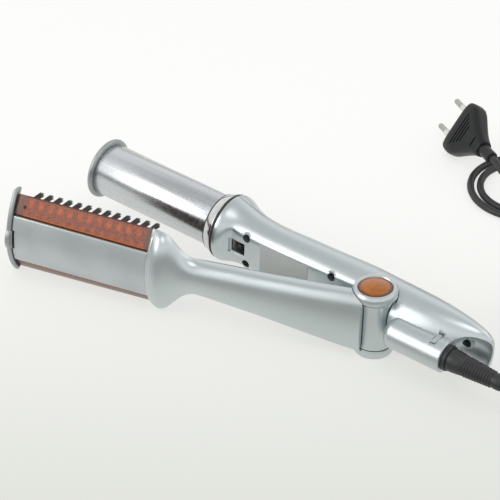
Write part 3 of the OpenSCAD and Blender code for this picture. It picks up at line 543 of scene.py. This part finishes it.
handle = solid(loft([handle_ring(x, inset) for x, inset in
                     bell_rim + [(x, 0) for x in stations(-113.2, (-90, 1.3), (10, 4), (70.3, 2))]]))
scoop = bulb((64.5, 3, 0), (15.5, 13.5, 12.2))
carve(handle, "DIFFERENCE", scoop)
carve(handle, "UNION", on_tube([(0, 19), (tube_r, 19), (tube_r, tube_end - 0.5), (tube_r - 0.5, tube_end),
                                (0, tube_end)]), bulb((19, tube_y, 0), (6.7, tube_r, tube_r)))
hollow = solid(loft([handle_ring(x, wall, 64) for x in stations(-114.4, (-90, 3), (45, 6))]))
carve(hollow, "UNION", on_tube([(0, 21), (tube_r - 0.8, 21), (tube_r - 0.8, 60), (0, 60)], 48))
mouth_of_bell = moved(spun([(0, -116), (17.4, -116), (17.4, -112), (0, -112)], 96),
                      Matrix.Translation((0, barrel_y, 0)) @ along_x)
carve(handle, "DIFFERENCE", hollow, mouth_of_bell, hinge_space(knuckle_room, ring_room))
for x, z in screw_holes:
    carve(handle, "UNION", round_hole(x, 2.6, 20, z, boss_r))
    carve(handle, "DIFFERENCE", round_hole(x, -5, 9, z, head_r), round_hole(x, 0, 22.9, z, thread_r, 16))
carve(handle, "UNION", solid(rounded(round_hole(tail_screw_x, 12.7, 18, 0, boss_r), 0.5)))
carve(handle, "DIFFERENCE", round_hole(tail_screw_x, 2, 17.4, 0, 2.5),
      round_hole(tail_screw_x, 5, 19.4, 0, thread_r, 16))
trigger_window = block((-104.3, -5, -4.3), (-94.5, 6, 4.3))
window_step = block((-105.9, -5, -5.5), (-94.4, 2.4, 4.4))
clip_slot = block((43.8, tube_y - 5.5, 6.6), (47.2, tube_y + 5.5, 12))
carve(handle, "DIFFERENCE", trigger_window, window_step, clip_slot)
outer_half = bpy.data.objects.new("outer_half", handle.data.copy())
scene.collection.objects.link(outer_half)
carve(outer_half, "INTERSECT", block((-150, parting_y + seam, -50), (150, 80, 50)))
carve(handle, "INTERSECT", block((-150, -80, -50), (150, parting_y - seam, 50)))


def silver_paint():
    """Silver paint on moulded plastic: fine flakes under a satin lacquer, a little uneven in its gloss."""
    made = Finish("silver_paint", Metallic=0.9, Coat_Weight=0.12, Coat_Roughness=0.3)
    here = made.place()
    flakes = made.noise(here, 4.5, 2)
    clouds = made.noise(here, 0.04, 3)
    return made.give(
        Base_Color=made.mix(flakes.ramp(0.3, 0.7), (0.55, 0.60, 0.61), (0.62, 0.675, 0.685)),
        Roughness=clouds.ramp(0.3, 0.7, 0.28, 0.33) + flakes.ramp(0.3, 0.7, 0, 0.04),
        Normal=made.bump(flakes, 0.00002, 0.3))


silver = silver_paint()
piece(handle, "handle_inner_half", barrel_side, silver, "root", ["barrel_arm_inner_shell"])
piece(outer_half, "handle_outer_half", barrel_side, silver, "root",
      ["barrel_arm_outer_shell"])

# Hot end. A mirror-chromed collar at the mouth of the bell, round the turning barrel, with a thin black seal
# behind it and a black lip before it that is painted shade in the gap to the barrel. The barrel is a polished
# aluminium tube with faint streaks along it, closed at the tip by a grey moulded flange with a rolled rim.
barrel_reach = 210.3
barrel_r = 16
barrel_bore = 14.6
barrel_back = -109.5
flange_r = 18.6
flange_t = 3.4
on_barrel = barrel_side @ Matrix.Translation((0, barrel_y, 0)) @ along_x


def chrome_plate():
    """Mirror chrome with the faintest haze."""
    made = Finish("chrome_plate", Metallic=1.0)
    haze = made.noise(made.place(), 0.25, 3)
    return made.give(Base_Color=made.mix(haze.ramp(0.3, 0.7), (0.62, 0.625, 0.63), (0.70, 0.705, 0.71)),
                     Roughness=haze.ramp(0.3, 0.7, 0.03, 0.07))


def seal_rubber():
    """Matt black rubber, also used as painted shade in gaps."""
    made = Finish("seal_rubber")
    grain = made.noise(made.place(), 2.5, 3)
    return made.give(Base_Color=made.mix(grain.ramp(0.3, 0.7), (0.010, 0.010, 0.010), (0.022, 0.022, 0.022)),
                     Roughness=grain.ramp(0.3, 0.7, 0.5, 0.62))


def polished_aluminium():
    """Drawn and polished tube: long faint streaks along it and a slight haze."""
    made = Finish("polished_aluminium", Metallic=1.0, Anisotropic=0.5)
    x, y, z = made.axes(made.place((0, 0, arm_height * mm), (0, arm_pitch, 0)))
    line = made.node("CombineXYZ", None, {"X": x * 0.02, "Y": y * 2.2, "Z": z * 2.2})
    streaks = made.noise(line, 1.0, 3)
    haze = made.noise(made.place(), 0.3, 4)
    return made.give(Base_Color=made.mix(streaks.ramp(0.3, 0.7), (0.565, 0.585, 0.60), (0.655, 0.68, 0.695)),
                     Roughness=streaks.ramp(0.3, 0.7, 0.22, 0.3) + haze.ramp(0.4, 0.7, 0, 0.05),
                     Normal=made.bump(streaks, 0.00002, 0.25))


def grey_moulding(name, darker, lighter):
    """Smooth satin grey plastic, self-coloured."""
    made = Finish(name, Metallic=0.6, Specular_IOR_Level=0.45)
    here = made.place()
    grain = made.noise(here, 5.0, 2)
    clouds = made.noise(here, 0.05, 2)
    return made.give(Base_Color=made.mix(clouds.ramp(0.3, 0.7), darker, lighter),
                     Roughness=grain.ramp(0.3, 0.7, 0.3, 0.38), Normal=made.bump(grain, 0.00002, 0.4))


chrome, seal_and_shade_black, aluminium = chrome_plate(), seal_rubber(), polished_aluminium()
grey = grey_moulding("grey_moulding", (0.48, 0.525, 0.535), (0.53, 0.575, 0.585))
cap_grey = grey_moulding("cap_grey", (0.34, 0.365, 0.37), (0.39, 0.415, 0.42))
collar = [(16.4, -122.3), (17.5, -122.3), (18.1, -121.3), (19.9, -116.5), (19.9, -116.1), (16.4, -116.1)]
piece(rounded(spun(collar, 128), 0.2), "collar_ring", on_barrel, chrome, "root", ["chrome_collar"])
# One black ring: behind the collar it is the seal, and its lip before the collar is painted shade in the gap
# to the barrel.
gasket = [(16.3, -122.75), (17.4, -122.75), (17.75, -122.3), (17.6, -122.1), (16.9, -122.0), (16.9, -116.05),
          (20.0, -116.05), (20.15, -115.6), (20.1, -114.4), (16.3, -114.4)]
piece(spun(gasket, 128), "collar_seal_and_shade_lip", on_barrel, seal_and_shade_black, "root")
sleeve = [(barrel_bore, flange_t - barrel_reach), (barrel_r, flange_t - barrel_reach),
          (barrel_r, barrel_back), (barrel_bore, barrel_back)]
piece(rounded(spun(sleeve, 160), 0.2), "barrel_sleeve", on_barrel, aluminium, "barrel",
      ["barrel_tube"])
rim_r = flange_t / 2
rim = [(flange_r - rim_r + rim_r * math.sin(math.radians(a)), rim_r - rim_r * math.cos(math.radians(a)))
       for a in range(0, 181, 20)]
tip = ([(0, 0.9), (13.6, 0.9), (14.6, 0.5), (15.4, 0)] + rim
       + [(flange_r - 2.1, 3.3), (14.5, 3.4), (14.5, 9), (0, 9)])
piece(spun([(r, h - barrel_reach) for r, h in tip], 128), "barrel_tip", on_barrel, cap_grey, "barrel",
      ["barrel_tip_flange"], 28)

# Hinge. A bored knuckle of the barrel arm stands between the brush arm's bottom cap and the ring round
# the power button. Cap, knuckle and ring are silver, with narrow dark gaps between them.
ring_r = 13.2
hinge_top = 44


def flared(low, high, waist, flare, steps=24):
    """A column's side, drawn in from both ends to its waist."""
    side = []
    for k in range(steps + 1):
        u = k / steps
        side.append((waist + (flare - waist) * abs(2 * u - 1) ** 5, low + (high - low) * u))
    return side


column = [(3.1, 6.3), (11.2, 6.3), *flared(6.6, 36.8, 11.05, 11.5), (11.2, knuckle_high),
          (3.1, knuckle_high)]
piece(spun(column, 128), "knuckle_column", upright, silver, "root", ["hinge_knuckle"], 40)
button_ring = [(8.4, 39), (8.4, 41.2), (10.05, 41.2), (10.05, 43.3), (10.5, 43.9), (11.2, hinge_top),
               (11.9, 43.8), (12.8, 42.8), (ring_r, 41.8), (ring_r, 39.4), (12.9, 38.6), (12.1, 37.9),
               (11.4, 37.6), (9.7, 37.6), (9.7, 39)]
piece(spun(button_ring, 128), "button_ring", upright, silver, "brush_arm",
      ["hinge_top_ring"], 30)
bottom_cap = [(0, 0), (10, 0), (11.1, 0.5), (11.6, 1.4), (11.7, 2.6), (11.7, 5.4), (11.4, 5.8), (9.6, 5.8),
              (9.6, 4.15), (5, 4.15), (5, 2.6), (0, 2.6)]
piece(spun(bottom_cap, 128), "bottom_cap", upright, silver, "brush_arm",
      ["hinge_bottom_cap"], 40)

# Power button. A domed lens in translucent amber, which also shows the pilot lamp under it. It sits in
# the ring with a dark gap and is painted browner towards its edge.
lens_r = 9.75
lens_edge = 43.3
lens_top = 45.2


def amber_lens():
    """Amber plastic, clouded within, under a clear skin."""
    made = Finish("amber_lens", Specular_IOR_Level=0.3, Coat_Weight=0.7, Coat_Roughness=0.1)
    x, y, z = made.axes(made.place())
    radius = (x * x + y * y) ** 0.5
    swirl = made.noise(made.place(), 0.35, 2)
    body = made.mix(swirl.ramp(0.3, 0.7), (0.33, 0.095, 0.008), (0.40, 0.12, 0.012))
    return made.give(Base_Color=made.mix(radius.ramp(7.2, 9.6), body, (0.11, 0.03, 0.012)),
                     Roughness=radius.ramp(3, 9, 0.30, 0.22) + swirl.ramp(0.3, 0.7, 0, 0.05))


amber = amber_lens()
dome = [(lens_r * (1 - k / 16), lens_edge + (lens_top - lens_edge) * (1 - (1 - k / 16) ** 2))
        for k in range(16)]
piece(spun([(0, 43.05), (7.5, 43.05), (7.5, 42.1), (lens_r, 42.1), *dome, (0, lens_top)], 96),
      "lens_button", upright, amber, "button", ["power_button"], 40)

# Button's spring. Three light turns of bright steel wire stand under the lens; the coil is built at rest.
spring_box = [Vector(corner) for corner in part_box("button_spring")]
spring_r = 5.2
wire_r = 0.3
spring_turns = 3
spring_steps = 90


def plain(name, dark, light, rough, metallic=0.0, scale=2.0):
    """A simple finish with a fine grain, for springs, screws, boards and inner mouldings."""
    made = Finish(name, Metallic=metallic)
    grain = made.noise(made.place(), scale, 3)
    return made.give(Base_Color=made.mix(grain.ramp(0.3, 0.7), dark, light),
                     Roughness=grain.ramp(0.3, 0.7, rough, rough + 0.1))


steel = plain("bright_steel", (0.30, 0.31, 0.32), (0.42, 0.43, 0.44), 0.28, 1.0)
spring_low = spring_box[0].z / mm + wire_r
spring_rise = spring_box[1].z / mm - wire_r - spring_low
wire = bmesh.new()
wire_start = Matrix.Translation((spring_r, 0, spring_low)) @ Matrix.Rotation(math.pi / 2, 4, "X")
bmesh.ops.create_circle(wire, segments=8, radius=wire_r, cap_ends=True, matrix=wire_start)
bmesh.ops.spin(wire, geom=wire.faces[:], cent=(0, 0, 0), axis=(0, 0, 1),
               dvec=(0, 0, spring_rise / spring_steps), angle=spring_turns * 2 * math.pi, steps=spring_steps)
bmesh.ops.recalc_face_normals(wire, faces=wire.faces)
button_coil = piece(wire, "button_coil", upright, steel, "brush_arm", ["button_spring"])
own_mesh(button_coil)

# Brush arm. Two moulded shells in the same silver paint: a slim handle that flares into an oval bell with
# a thin rim band, where it holds the brush head. Sections, with the arms closed: place, outer side, widest
# point, inner side, half height and fullness.
brush_parting_y = -4.5
brush_screws = [-96, -58, -30]
window_x = -99.4
brush_sections = [
    (-134, -19.7, -8, -9.6, 26.8, 1.9), (-131.5, -20.9, -8.2, -9, 26.7, 1.3),
    (-127, -22.2, -8.8, -7.6, 26.5, 0.9), (-123, -21.2, -9, -6.2, 24.7, 0.86),
    (-119, -19, -8.8, -5.7, 20.4, 0.86), (-115, -17, -8.2, -5.8, 15.9, 0.86),
    (-111, -15.8, -7.4, -5.3, 12.9, 0.84), (-106, -15.1, -7, -0.6, 11.2, 0.8),
    (-98, -15, -7, 0.9, 11.4, 0.78), (-85, -15.1, -7, 1, 12.4, 0.75), (-66, -15.4, -7.2, 1, 13.8, 0.72),
    (-50, -15.8, -7.4, 1, 15.4, 0.7), (-34, -16.2, -7.6, 1, 17, 0.7), (-18, -16.2, -7.6, 1, 18.8, 0.7),
    (-3.5, -15.8, -7.5, 1, 20, 0.7)]
band_rim = [(-134, 0.7), (-133.8, 0.25), (-133.3, 0), (-132.2, 0), (-131.95, 0.16), (-131.75, 0.16),
            (-131.5, 0)]
open_turn = Matrix.Rotation(open_angle, 4, "Z")
brush_side = open_turn @ barrel_side


def brush_ring(x, inset=0.0, sides=112):
    """The brush arm's outline at x, an oval whose fullness goes from square to round."""
    outer, middle, inner, half, full = section_at(brush_sections, x)
    outer, inner = outer + inset, inner - inset
    middle -= inset * max(0, full - 0.7)
    half -= inset * (0.6 + full)
    points = []
    for k in range(sides):
        c, s = math.cos(2 * math.pi * k / sides), math.sin(2 * math.pi * k / sides)
        depth = abs(c) ** full
        points.append((x, middle + depth * (inner - middle) if c > 0 else middle - depth * (middle - outer),
                       half * s))
    return points


brush_handle = solid(loft([brush_ring(x, inset) for x, inset in
                           band_rim + [(x, 0) for x in stations(-130.5, (-104, 1.2), (-3.5, 4))]]))
brush_hollow = loft([brush_ring(x, wall, 64) for x in stations(-132, (-104, 2.5), (-17, 6))])
carve(brush_handle, "DIFFERENCE", brush_hollow, hinge_space(knuckle_room, 9.6))
button_space = spun([(0, 37.4), (ring_r + 0.25, 37.4), (ring_r + 0.25, 60), (0, 60)], 96)
cap_space = spun([(0, -1), (11.95, -1), (11.95, knuckle_low), (0, knuckle_low)], 96)
carve(brush_handle, "DIFFERENCE", moved(button_space, into_arm), moved(cap_space, into_arm))
for x in brush_screws:
    carve(brush_handle, "UNION", round_hole(x, -14.2, -0.4, 0, 3))
    carve(brush_handle, "DIFFERENCE", round_hole(x, -2.4, 5, 0, 2.2), round_hole(x, -12.2, 5, 0, 1.15, 16))
carve(brush_handle, "DIFFERENCE", block((window_x - 1.6, -3, -2), (window_x + 1.6, 5, 2)))
brush_outer = bpy.data.objects.new("brush_outer", brush_handle.data.copy())
scene.collection.objects.link(brush_outer)
carve(brush_outer, "INTERSECT", block((-150, -80, -50), (50, brush_parting_y - seam, 50)))
carve(brush_handle, "INTERSECT", block((-150, brush_parting_y + seam, -50), (50, 80, 50)))
piece(brush_outer, "brush_arm_outer_half", brush_side, silver, "brush_arm",
      ["brush_arm_outer_shell"])
piece(brush_handle, "brush_arm_inner_half", brush_side, silver, "brush_arm",
      ["brush_arm_inner_shell"])

# Brush head. A translucent red-brown carrier, curved round the barrel, with a smooth grey cover clipped on
# its back and a grey end cap that ends in two horns. The carrier shows as a strip on each side of the
# cover, whose edges and fine line run a little lower towards the bell.
head_x = -218.8
rim_x = -134
arc_y = barrel_y + 6.2
cover_r = 40.3
carrier_r = 39.1
inner_r = 42.1
inner_y = -14 + inner_r
cover_half = 16.2
tip_drop, bell_drop = 1.1, 1.3
carrier_half = 26
carrier_narrowing = 24 / 26
cap_half = 28.4
cap_t = 2.9
gap_half = 26.2
tuft_pitch = 6.15
first_tuft_x = -211
dot_place = (head_x + 5.9, 20.4)


def edge_drop(x):
    """How far the cover's upper and lower edges run below the middle's lines, at a place along the head."""
    along = (x - head_x) / (rim_x - head_x)
    return tip_drop + along, bell_drop * along


def lowered(x, z):
    """A height on the head moved down with the cover's edges, and not at all at the head's own edges."""
    upper, lower = edge_drop(x)
    share = min(max((z + cover_half) / (2 * cover_half), 0), 1)
    fade = min(max((25 - abs(z)) / 8.7, 0), 1)
    return z - (lower + (upper - lower) * share) * fade


def arched(xs, zs, outer, inner, narrowing=1.0, sunk=lambda z: 0, way=lambda x, z: z):
    """A curved plate on a grid of places and heights, between an outer and an inner face."""
    bm = bmesh.new()
    across, up = len(xs) - 1, len(zs) - 1
    bmesh.ops.create_grid(bm, x_segments=across, y_segments=up, size=1)
    for v in bm.verts:
        x, z = xs[round((v.co.x + 1) / 2 * across)], zs[round((v.co.y + 1) / 2 * up)]
        v.co = x, outer(way(x, z)) + sunk(z), way(x, z)
    made = bmesh.ops.extrude_face_region(bm, geom=bm.faces[:])["geom"]
    for v in made:
        if isinstance(v, bmesh.types.BMVert):
            v.co.y, v.co.z = inner(v.co.z * narrowing), v.co.z * narrowing
    bmesh.ops.recalc_face_normals(bm, faces=bm.faces)
    return bm


def arc(centre_y, r):
    """A face that is an arc of radius r round the barrel's side."""
    return lambda z: centre_y - math.sqrt(r * r - z * z)


def fine_line(z):
    """The carrier's fine line, sunk beside the cover's edges."""
    return 0.7 if 16.3 < abs(z) < 16.85 else 0


def evenly(low, high, count):
    return [low + (high - low) * k / count for k in range(count + 1)]


def red_plastic():
    """Translucent red-brown plastic. Two staggered rows of the tufts' seats shine through it, and it is
    plain and browner at both ends. A near-black band in the fine line beside the cover's upper edge is
    painted shade, and the lower strip is painted shade in one plain, darker brown."""
    made = Finish("red_plastic", Specular_IOR_Level=0.3, Coat_Weight=0.15, Coat_Roughness=0.2)
    x, y, z = made.axes(made.place((0, 0, arm_height * mm), (0, arm_pitch, open_angle)))
    mottle = made.noise(made.place(), 0.32, 3)
    wave = ((x - first_tuft_x - 1.8) * (2 * math.pi / tuft_pitch) + math.pi / 2 + mottle * 2 - 1).sine()
    height = abs(z)
    edge = z + (x - head_x) * (1 / (rim_x - head_x)) + tip_drop
    upper = abs(height - 22.6).ramp(2.9, 0.5) * wave.ramp(-0.7, 0.9)
    lower = abs(edge - 18.9).ramp(2.0, 0.3) * (wave * -1).ramp(-0.5, 1.0) * 0.6
    seats = (upper + lower).smaller(1) * mottle.ramp(0.3, 0.6, 0.35, 1)
    ends = (x - head_x).ramp(6.5, 5) + (x - (rim_x - 3)).ramp(-1, 1)
    plug_hole = ((x - dot_place[0]) ** 2 + (z - dot_place[1]) ** 2).ramp(1.6, 0.5)
    fine = made.noise(made.place(), 0.9, 2)
    body = made.mix(fine.ramp(0.3, 0.7), (0.21, 0.075, 0.048), (0.30, 0.12, 0.085))
    body = made.mix(seats, body, (0.50, 0.125, 0.055))
    body = made.mix(edge.ramp(18.0, 17.2), body, (0.50, 0.13, 0.03))
    body = made.mix(height.ramp(25.2, 25.6), body, (0.10, 0.03, 0.02))
    body = made.mix(ends.smaller(1), body, (0.20, 0.11, 0.085))
    body = made.mix(plug_hole, body, (0.05, 0.012, 0.008))
    # Painted shade: near-black in the fine line beside the cover's upper edge.
    body = made.mix(edge.ramp(16.9, 16.6), body, (0.09, 0.022, 0.008))
    # Painted shade: the lower strip is one plain, darker brown, without the seats.
    under = made.mix(fine, (0.17, 0.075, 0.045), (0.22, 0.105, 0.065))
    return made.give(Base_Color=made.mix(z.ramp(-8, -14), body, under),
                     Roughness=mottle.ramp(0.3, 0.7, 0.26, 0.36),
                     Normal=made.bump(seats * 0.6 + mottle * 0.4, 0.0002, 0.6))


carrier_zs = ([-carrier_half + 0.8 * k for k in range(12)] + [-16.9, -16.8, -16.35, -16.25]
              + [-15 + 1.5 * k for k in range(21)] + [16.25, 16.35, 16.8, 16.9]
              + [17.2 + 0.8 * k for k in range(12)])
carrier = arched(evenly(head_x, rim_x, 24), carrier_zs, arc(arc_y, carrier_r), arc(inner_y, inner_r),
                 carrier_narrowing, fine_line, lowered)
piece(rounded(carrier, 0.3, 2, 60), "red_carrier", brush_side, red_plastic(), "brush_arm",
      ["bristle_carrier"])
cover = solid(rounded(arched([head_x, rim_x], evenly(-cover_half, cover_half, 36), arc(arc_y, cover_r),
                             arc(arc_y, carrier_r + 0.03), way=lowered), 0.35, 3, 60))
clip_notch = block((head_x - 1, -25, -6.2), (head_x + 1.9, -10, 6.6))
carve(cover, "DIFFERENCE", clip_notch)
piece(cover, "smooth_cover", brush_side, grey, "brush_arm", ["brush_cover"])
cap = solid(rounded(arched([head_x - cap_t, head_x - 0.05], evenly(-cap_half, cap_half, 48),
                           arc(arc_y, cover_r + 1.4), arc(inner_y, inner_r - 1.8), 27 / cap_half),
                    0.9, 3, 60))
bump = moved(spun([(0, 0), (9, 0), (9, 2.85), (0, 2.85)], 64),
             Matrix.Translation((head_x - cap_t, -13, 0)) @ along_x)
bump = solid(rounded(bump, 0.7, 3))
carve(bump, "INTERSECT", block((head_x - 4, -26, -12), (head_x + 1, -15, 12)))
carve(cap, "UNION", bump)
piece(cap, "end_cap", brush_side, cap_grey, "brush_arm", ["brush_end_cap"])
# A thin black plate between the end cap and the cover, and a black floor in the cover's notch for the clip,
# are painted shade in these gaps.
gap = solid(rounded(arched([head_x - 0.1, head_x + 0.6], evenly(-gap_half, gap_half, 48),
                           arc(arc_y, cover_r + 0.1), arc(inner_y, inner_r + 0.1), carrier_narrowing),
                    0.1, 1, 60))
notch_shade_floor = block((head_x - 0.1, -18.1, -6.1), (head_x + 1.85, -17.5, 6.5))
carve(gap, "UNION", notch_shade_floor)
piece(gap, "end_cap_shade_gap", brush_side, seal_and_shade_black, "brush_arm")
clip = rounded(block((head_x - 0.5, -19.2, -5.7), (head_x + 0.5, -17.7, 6.1)), 0.2)
piece(clip, "end_cap_clip", brush_side, grey, "brush_arm")

# Bristles. Six rows of blunt black nylon tufts, each drawn into its seat in a slim backing bar, lean in
# towards the barrel. Rows: height on the carrier, lean, length, and tufts left out at the tip.
tuft_rows = [(22.5, 17.8, 16.2, 0), (13, 13.5, 12.2, 1), (4, 4, 11, 1)]
tufts = 13
tuft_r = 1.25
filaments = 19
filament_root_r, filament_tip_r = 0.27, 0.2
golden = math.pi * (3 - math.sqrt(5))


def nylon():
    """Glossy black nylon, streaked along the filament."""
    made = Finish("nylon", Specular_IOR_Level=0.5)
    x, y, z = made.axes(made.place())
    fibre = made.noise(made.node("CombineXYZ", None, {"X": x * 3, "Y": y * 0.3, "Z": z * 3}), 1, 2)
    return made.give(Base_Color=made.mix(fibre.ramp(0.3, 0.7), (0.006, 0.006, 0.006), (0.020, 0.021, 0.020)),
                     Roughness=fibre.ramp(0.3, 0.7, 0.34, 0.46))


black_nylon = nylon()
for number, (row, side) in enumerate([(0, 1), (1, 1), (2, 1), (2, -1), (1, -1), (0, -1)], 1):
    height, lean, length, skipped = tuft_rows[row]
    z = side * height
    seat = Matrix.Translation((0, inner_y - math.sqrt(inner_r ** 2 - z * z), z)) @ Matrix.Rotation(
        math.radians(-side * lean), 4, "X")
    strip = rounded(block((head_x + 0.2, -1.2, -1.15), (rim_x - 1.2, -0.05, 1.15)), 0.15)
    for k in range(skipped, tufts):
        for f in range(filaments):
            reach = tuft_r * math.sqrt((f + 0.5) / filaments)
            along, aside = reach * math.cos(f * golden), reach * math.sin(f * golden)
            root = Vector((first_tuft_x + tuft_pitch * k + along * 1.1, -0.5, aside * 0.8))
            tip = Vector((root.x + along * 0.2, length - 0.25 * (f % 3), aside * 1.2))
            way = tip - root
            bmesh.ops.create_cone(strip, cap_ends=True, segments=6, radius1=filament_root_r,
                                  radius2=filament_tip_r, depth=way.length,
                                  matrix=Matrix.Translation((root + tip) / 2)
                                  @ way.to_track_quat("Z", "Y").to_matrix().to_4x4())
    piece(strip, f"tuft_row_{number}", brush_side @ seat, black_nylon, "brush_arm",
          [f"bristle_strip_{number}"])

# Cord's swivel. A turning gland in black rubber fills the mouth of the tail's tube, and a ribbed sleeve
# tapers from it to the cord, with fine ribs over its middle and a plain end.
on_cord_tube = barrel_side @ Matrix.Translation((0, tube_y, 0)) @ along_x
gland_r = 7.6
relief_start, relief_end = 56, 91.7
piece(spun([(3.4, 39), (6.6, 39), (gland_r, 40), (gland_r, 55.4), (7.3, 55.9), (6.9, 56), (3.4, 56)], 96),
      "gland", on_cord_tube, rubber, "swivel", ["swivel_gland"], 30)
ribs, first_rib, rib_step = 10, 66.8, 1.8
relief = [(2.4, 42), (3.35, 42), (3.35, relief_start + 0.05), (6.6, relief_start + 0.05), (6.85, 56.6),
          (6.7, 60), (6.3, 63.5), (5.9, 66.4)]
for k in range(ribs):
    x = first_rib + rib_step * k
    valley = 5.55 - 0.065 * (x - first_rib)
    relief += [(valley, x), (valley + 0.5, x + 0.3), (valley + 0.6, x + 0.75), (valley + 0.5, x + 1.15),
               (valley, x + 1.4)]
relief += [(4.55, 85.9), (4.75, 86.6), (4.7, 89.6), (4.1, 91.2), (3.4, relief_end), (2.4, relief_end)]
piece(spun(relief, 72), "ribbed_sleeve", on_cord_tube, rubber, "swivel", ["strain_relief"], 50)

# What stays as the frame has it: the small outer pieces and everything inside the arms. Each keeps its
# shape and place, and gets the finish of what it is made of, but the screws are near-black steel, which is
# painted shade in their deep holes.
# Near-black screw steel: painted shade for screws deep in their holes.
screw_shade_black = plain("screw_steel_painted_shade", (0.02, 0.02, 0.022), (0.04, 0.04, 0.043), 0.4, 1.0)
natural = plain("natural_plastic", (0.66, 0.62, 0.50), (0.74, 0.70, 0.58), 0.45)
dark = plain("dark_plastic", (0.012, 0.012, 0.013), (0.024, 0.024, 0.026), 0.42)
brass = plain("brass", (0.55, 0.42, 0.18), (0.66, 0.52, 0.24), 0.25, 1.0)
board = plain("circuit_board", (0.02, 0.09, 0.045), (0.03, 0.13, 0.06), 0.3)
red_lead = plain("red_lead", (0.40, 0.03, 0.02), (0.50, 0.05, 0.03), 0.4)
cast = plain("cast_aluminium", (0.48, 0.49, 0.50), (0.58, 0.59, 0.60), 0.4, 1.0)
label = plain("label_film", (0.46, 0.48, 0.465), (0.50, 0.52, 0.505), 0.5, scale=1.0)
kept = {
    screw_shade_black: ["shell_screws", "tail_screw", "brush_arm_screws"],
    steel: ["hinge_pin", "hinge_clevis", "hinge_spring", "gear_motor", "drive_shaft"],
    natural: ["drive_bulkhead", "heater_plates"],
    dark: ["rear_bearing", "front_bearing", "barrel_ring_gear", "collar_seal", "reduction_gearbox",
           "drive_pinion", "shaft_coupling", "board_components", "trigger_switch", "trigger_plunger"],
    brass: ["thermal_fuse"],
    board: ["control_board", "button_board"],
    red_lead: ["wiring"],
    cast: ["heater_core"],
    label: ["blank_label"],
    grey: ["switch_finger", "swivel_clip"],
    silver: ["swivel_bush"],
    amber: ["indicator_lamp"]}
for finish, names in kept.items():
    for name in names:
        nodes[name].data.materials.clear()
        nodes[name].data.materials.append(finish.material)

# Table and light. A plain cream table in a white room that darkens at its floor and overhead, where only
# reflections see it. Three soft lamps stand before and above the iron and a weaker one behind it, so that
# the silver shows a bright band over a greyer side.
table_half = 6
table_bm = bmesh.new()
bmesh.ops.create_grid(table_bm, x_segments=1, y_segments=1, size=table_half)
table = solid(table_bm)
table.name = "table"


def table_card():
    """Matt card, cream under the object and paler further back."""
    made = Finish("table_card", Roughness=0.9, Specular_IOR_Level=0.1)
    x, y, z = made.axes(made.place(scale=1))
    colour = made.mix((y - x * 0.7).ramp(-0.3, 0.25), (0.715, 0.73, 0.68), (0.97, 0.97, 0.95))
    camera_ray = made.node("LightPath")
    mirrored = made.node("LightPath", output="Is Glossy Ray")
    front = (x * 0.269 - y * 0.963).ramp(0.015, 0.11, 0.95, 0.35)
    glow = made.node("Emission", None, {"Color": colour, "Strength": mirrored * (front - 1) + 1})
    seen = (camera_ray * 0.72 + mirrored * 0.8).smaller(1)
    both = made.node("MixShader", None, {0: seen, 1: Wire(made, made.shader.outputs[0]), 2: glow})
    made.tree.links.new(both.socket, made.tree.nodes["Material Output"].inputs["Surface"])
    return made.give(Base_Color=colour)


table.data.materials.append(table_card().material)
world = bpy.data.worlds.new("room")
scene.world = world
world.use_nodes = True
room = world.node_tree
backdrop = room.nodes["Background"]
backdrop.inputs["Color"].default_value = (1, 1, 1, 1)


def room_node(kind, inputs, output=0, **settings):
    """A node of the room's own tree, with its settings and the values or links of its sockets."""
    made = room.nodes.new("ShaderNode" + kind)
    for name, value in settings.items():
        setattr(made, name, value)
    for name, value in inputs.items():
        if isinstance(value, bpy.types.NodeSocket):
            room.links.new(value, made.inputs[name])
        else:
            made.inputs[name].default_value = value
    return made.outputs[output]


height = room_node("SeparateXYZ", {"Vector": room_node("TexCoord", {})}, 2)
low_wall = room_node("MapRange", {"Value": height, "From Min": 0.0, "From Max": 0.2, "To Min": 0.12,
                                  "To Max": 1.0}, interpolation_type="SMOOTHSTEP")
ceiling = room_node("MapRange", {"Value": height, "From Min": 0.5, "From Max": 0.85, "To Min": 1.0,
                                 "To Max": 0.62}, interpolation_type="SMOOTHSTEP")
mirrored = room_node("Math", {0: low_wall, 1: ceiling}, operation="MULTIPLY")
lit = room_node("Mix", {"Factor": room_node("LightPath", {}, "Is Glossy Ray"), "A": 0.78, "B": mirrored})
seen = room_node("Mix", {"Factor": room_node("LightPath", {}, "Is Camera Ray"), "A": lit, "B": 1.0})
room.links.new(seen, backdrop.inputs["Strength"])
lamps = [("front_lamp", (-0.90, -1.25, 0.66), 0.75, 4.2), ("side_lamp", (-0.81, -0.83, 0.96), 0.6, 2.4),
         ("top_lamp", (0.28, -0.2, 1.35), 0.8, 2.8), ("back_lamp", (0.5, 0.9, 0.9), 0.9, 1.2)]
for name, position, size, power in lamps:
    lamp = bpy.data.objects.new(name, bpy.data.lights.new(name, "AREA"))
    lamp.data.shape, lamp.data.size, lamp.data.energy = "SQUARE", size, power
    lamp.location = position
    lamp.rotation_mode = "QUATERNION"
    lamp.rotation_quaternion = (aim - Vector(position)).to_track_quat("-Z", "Y")
    scene.collection.objects.link(lamp)
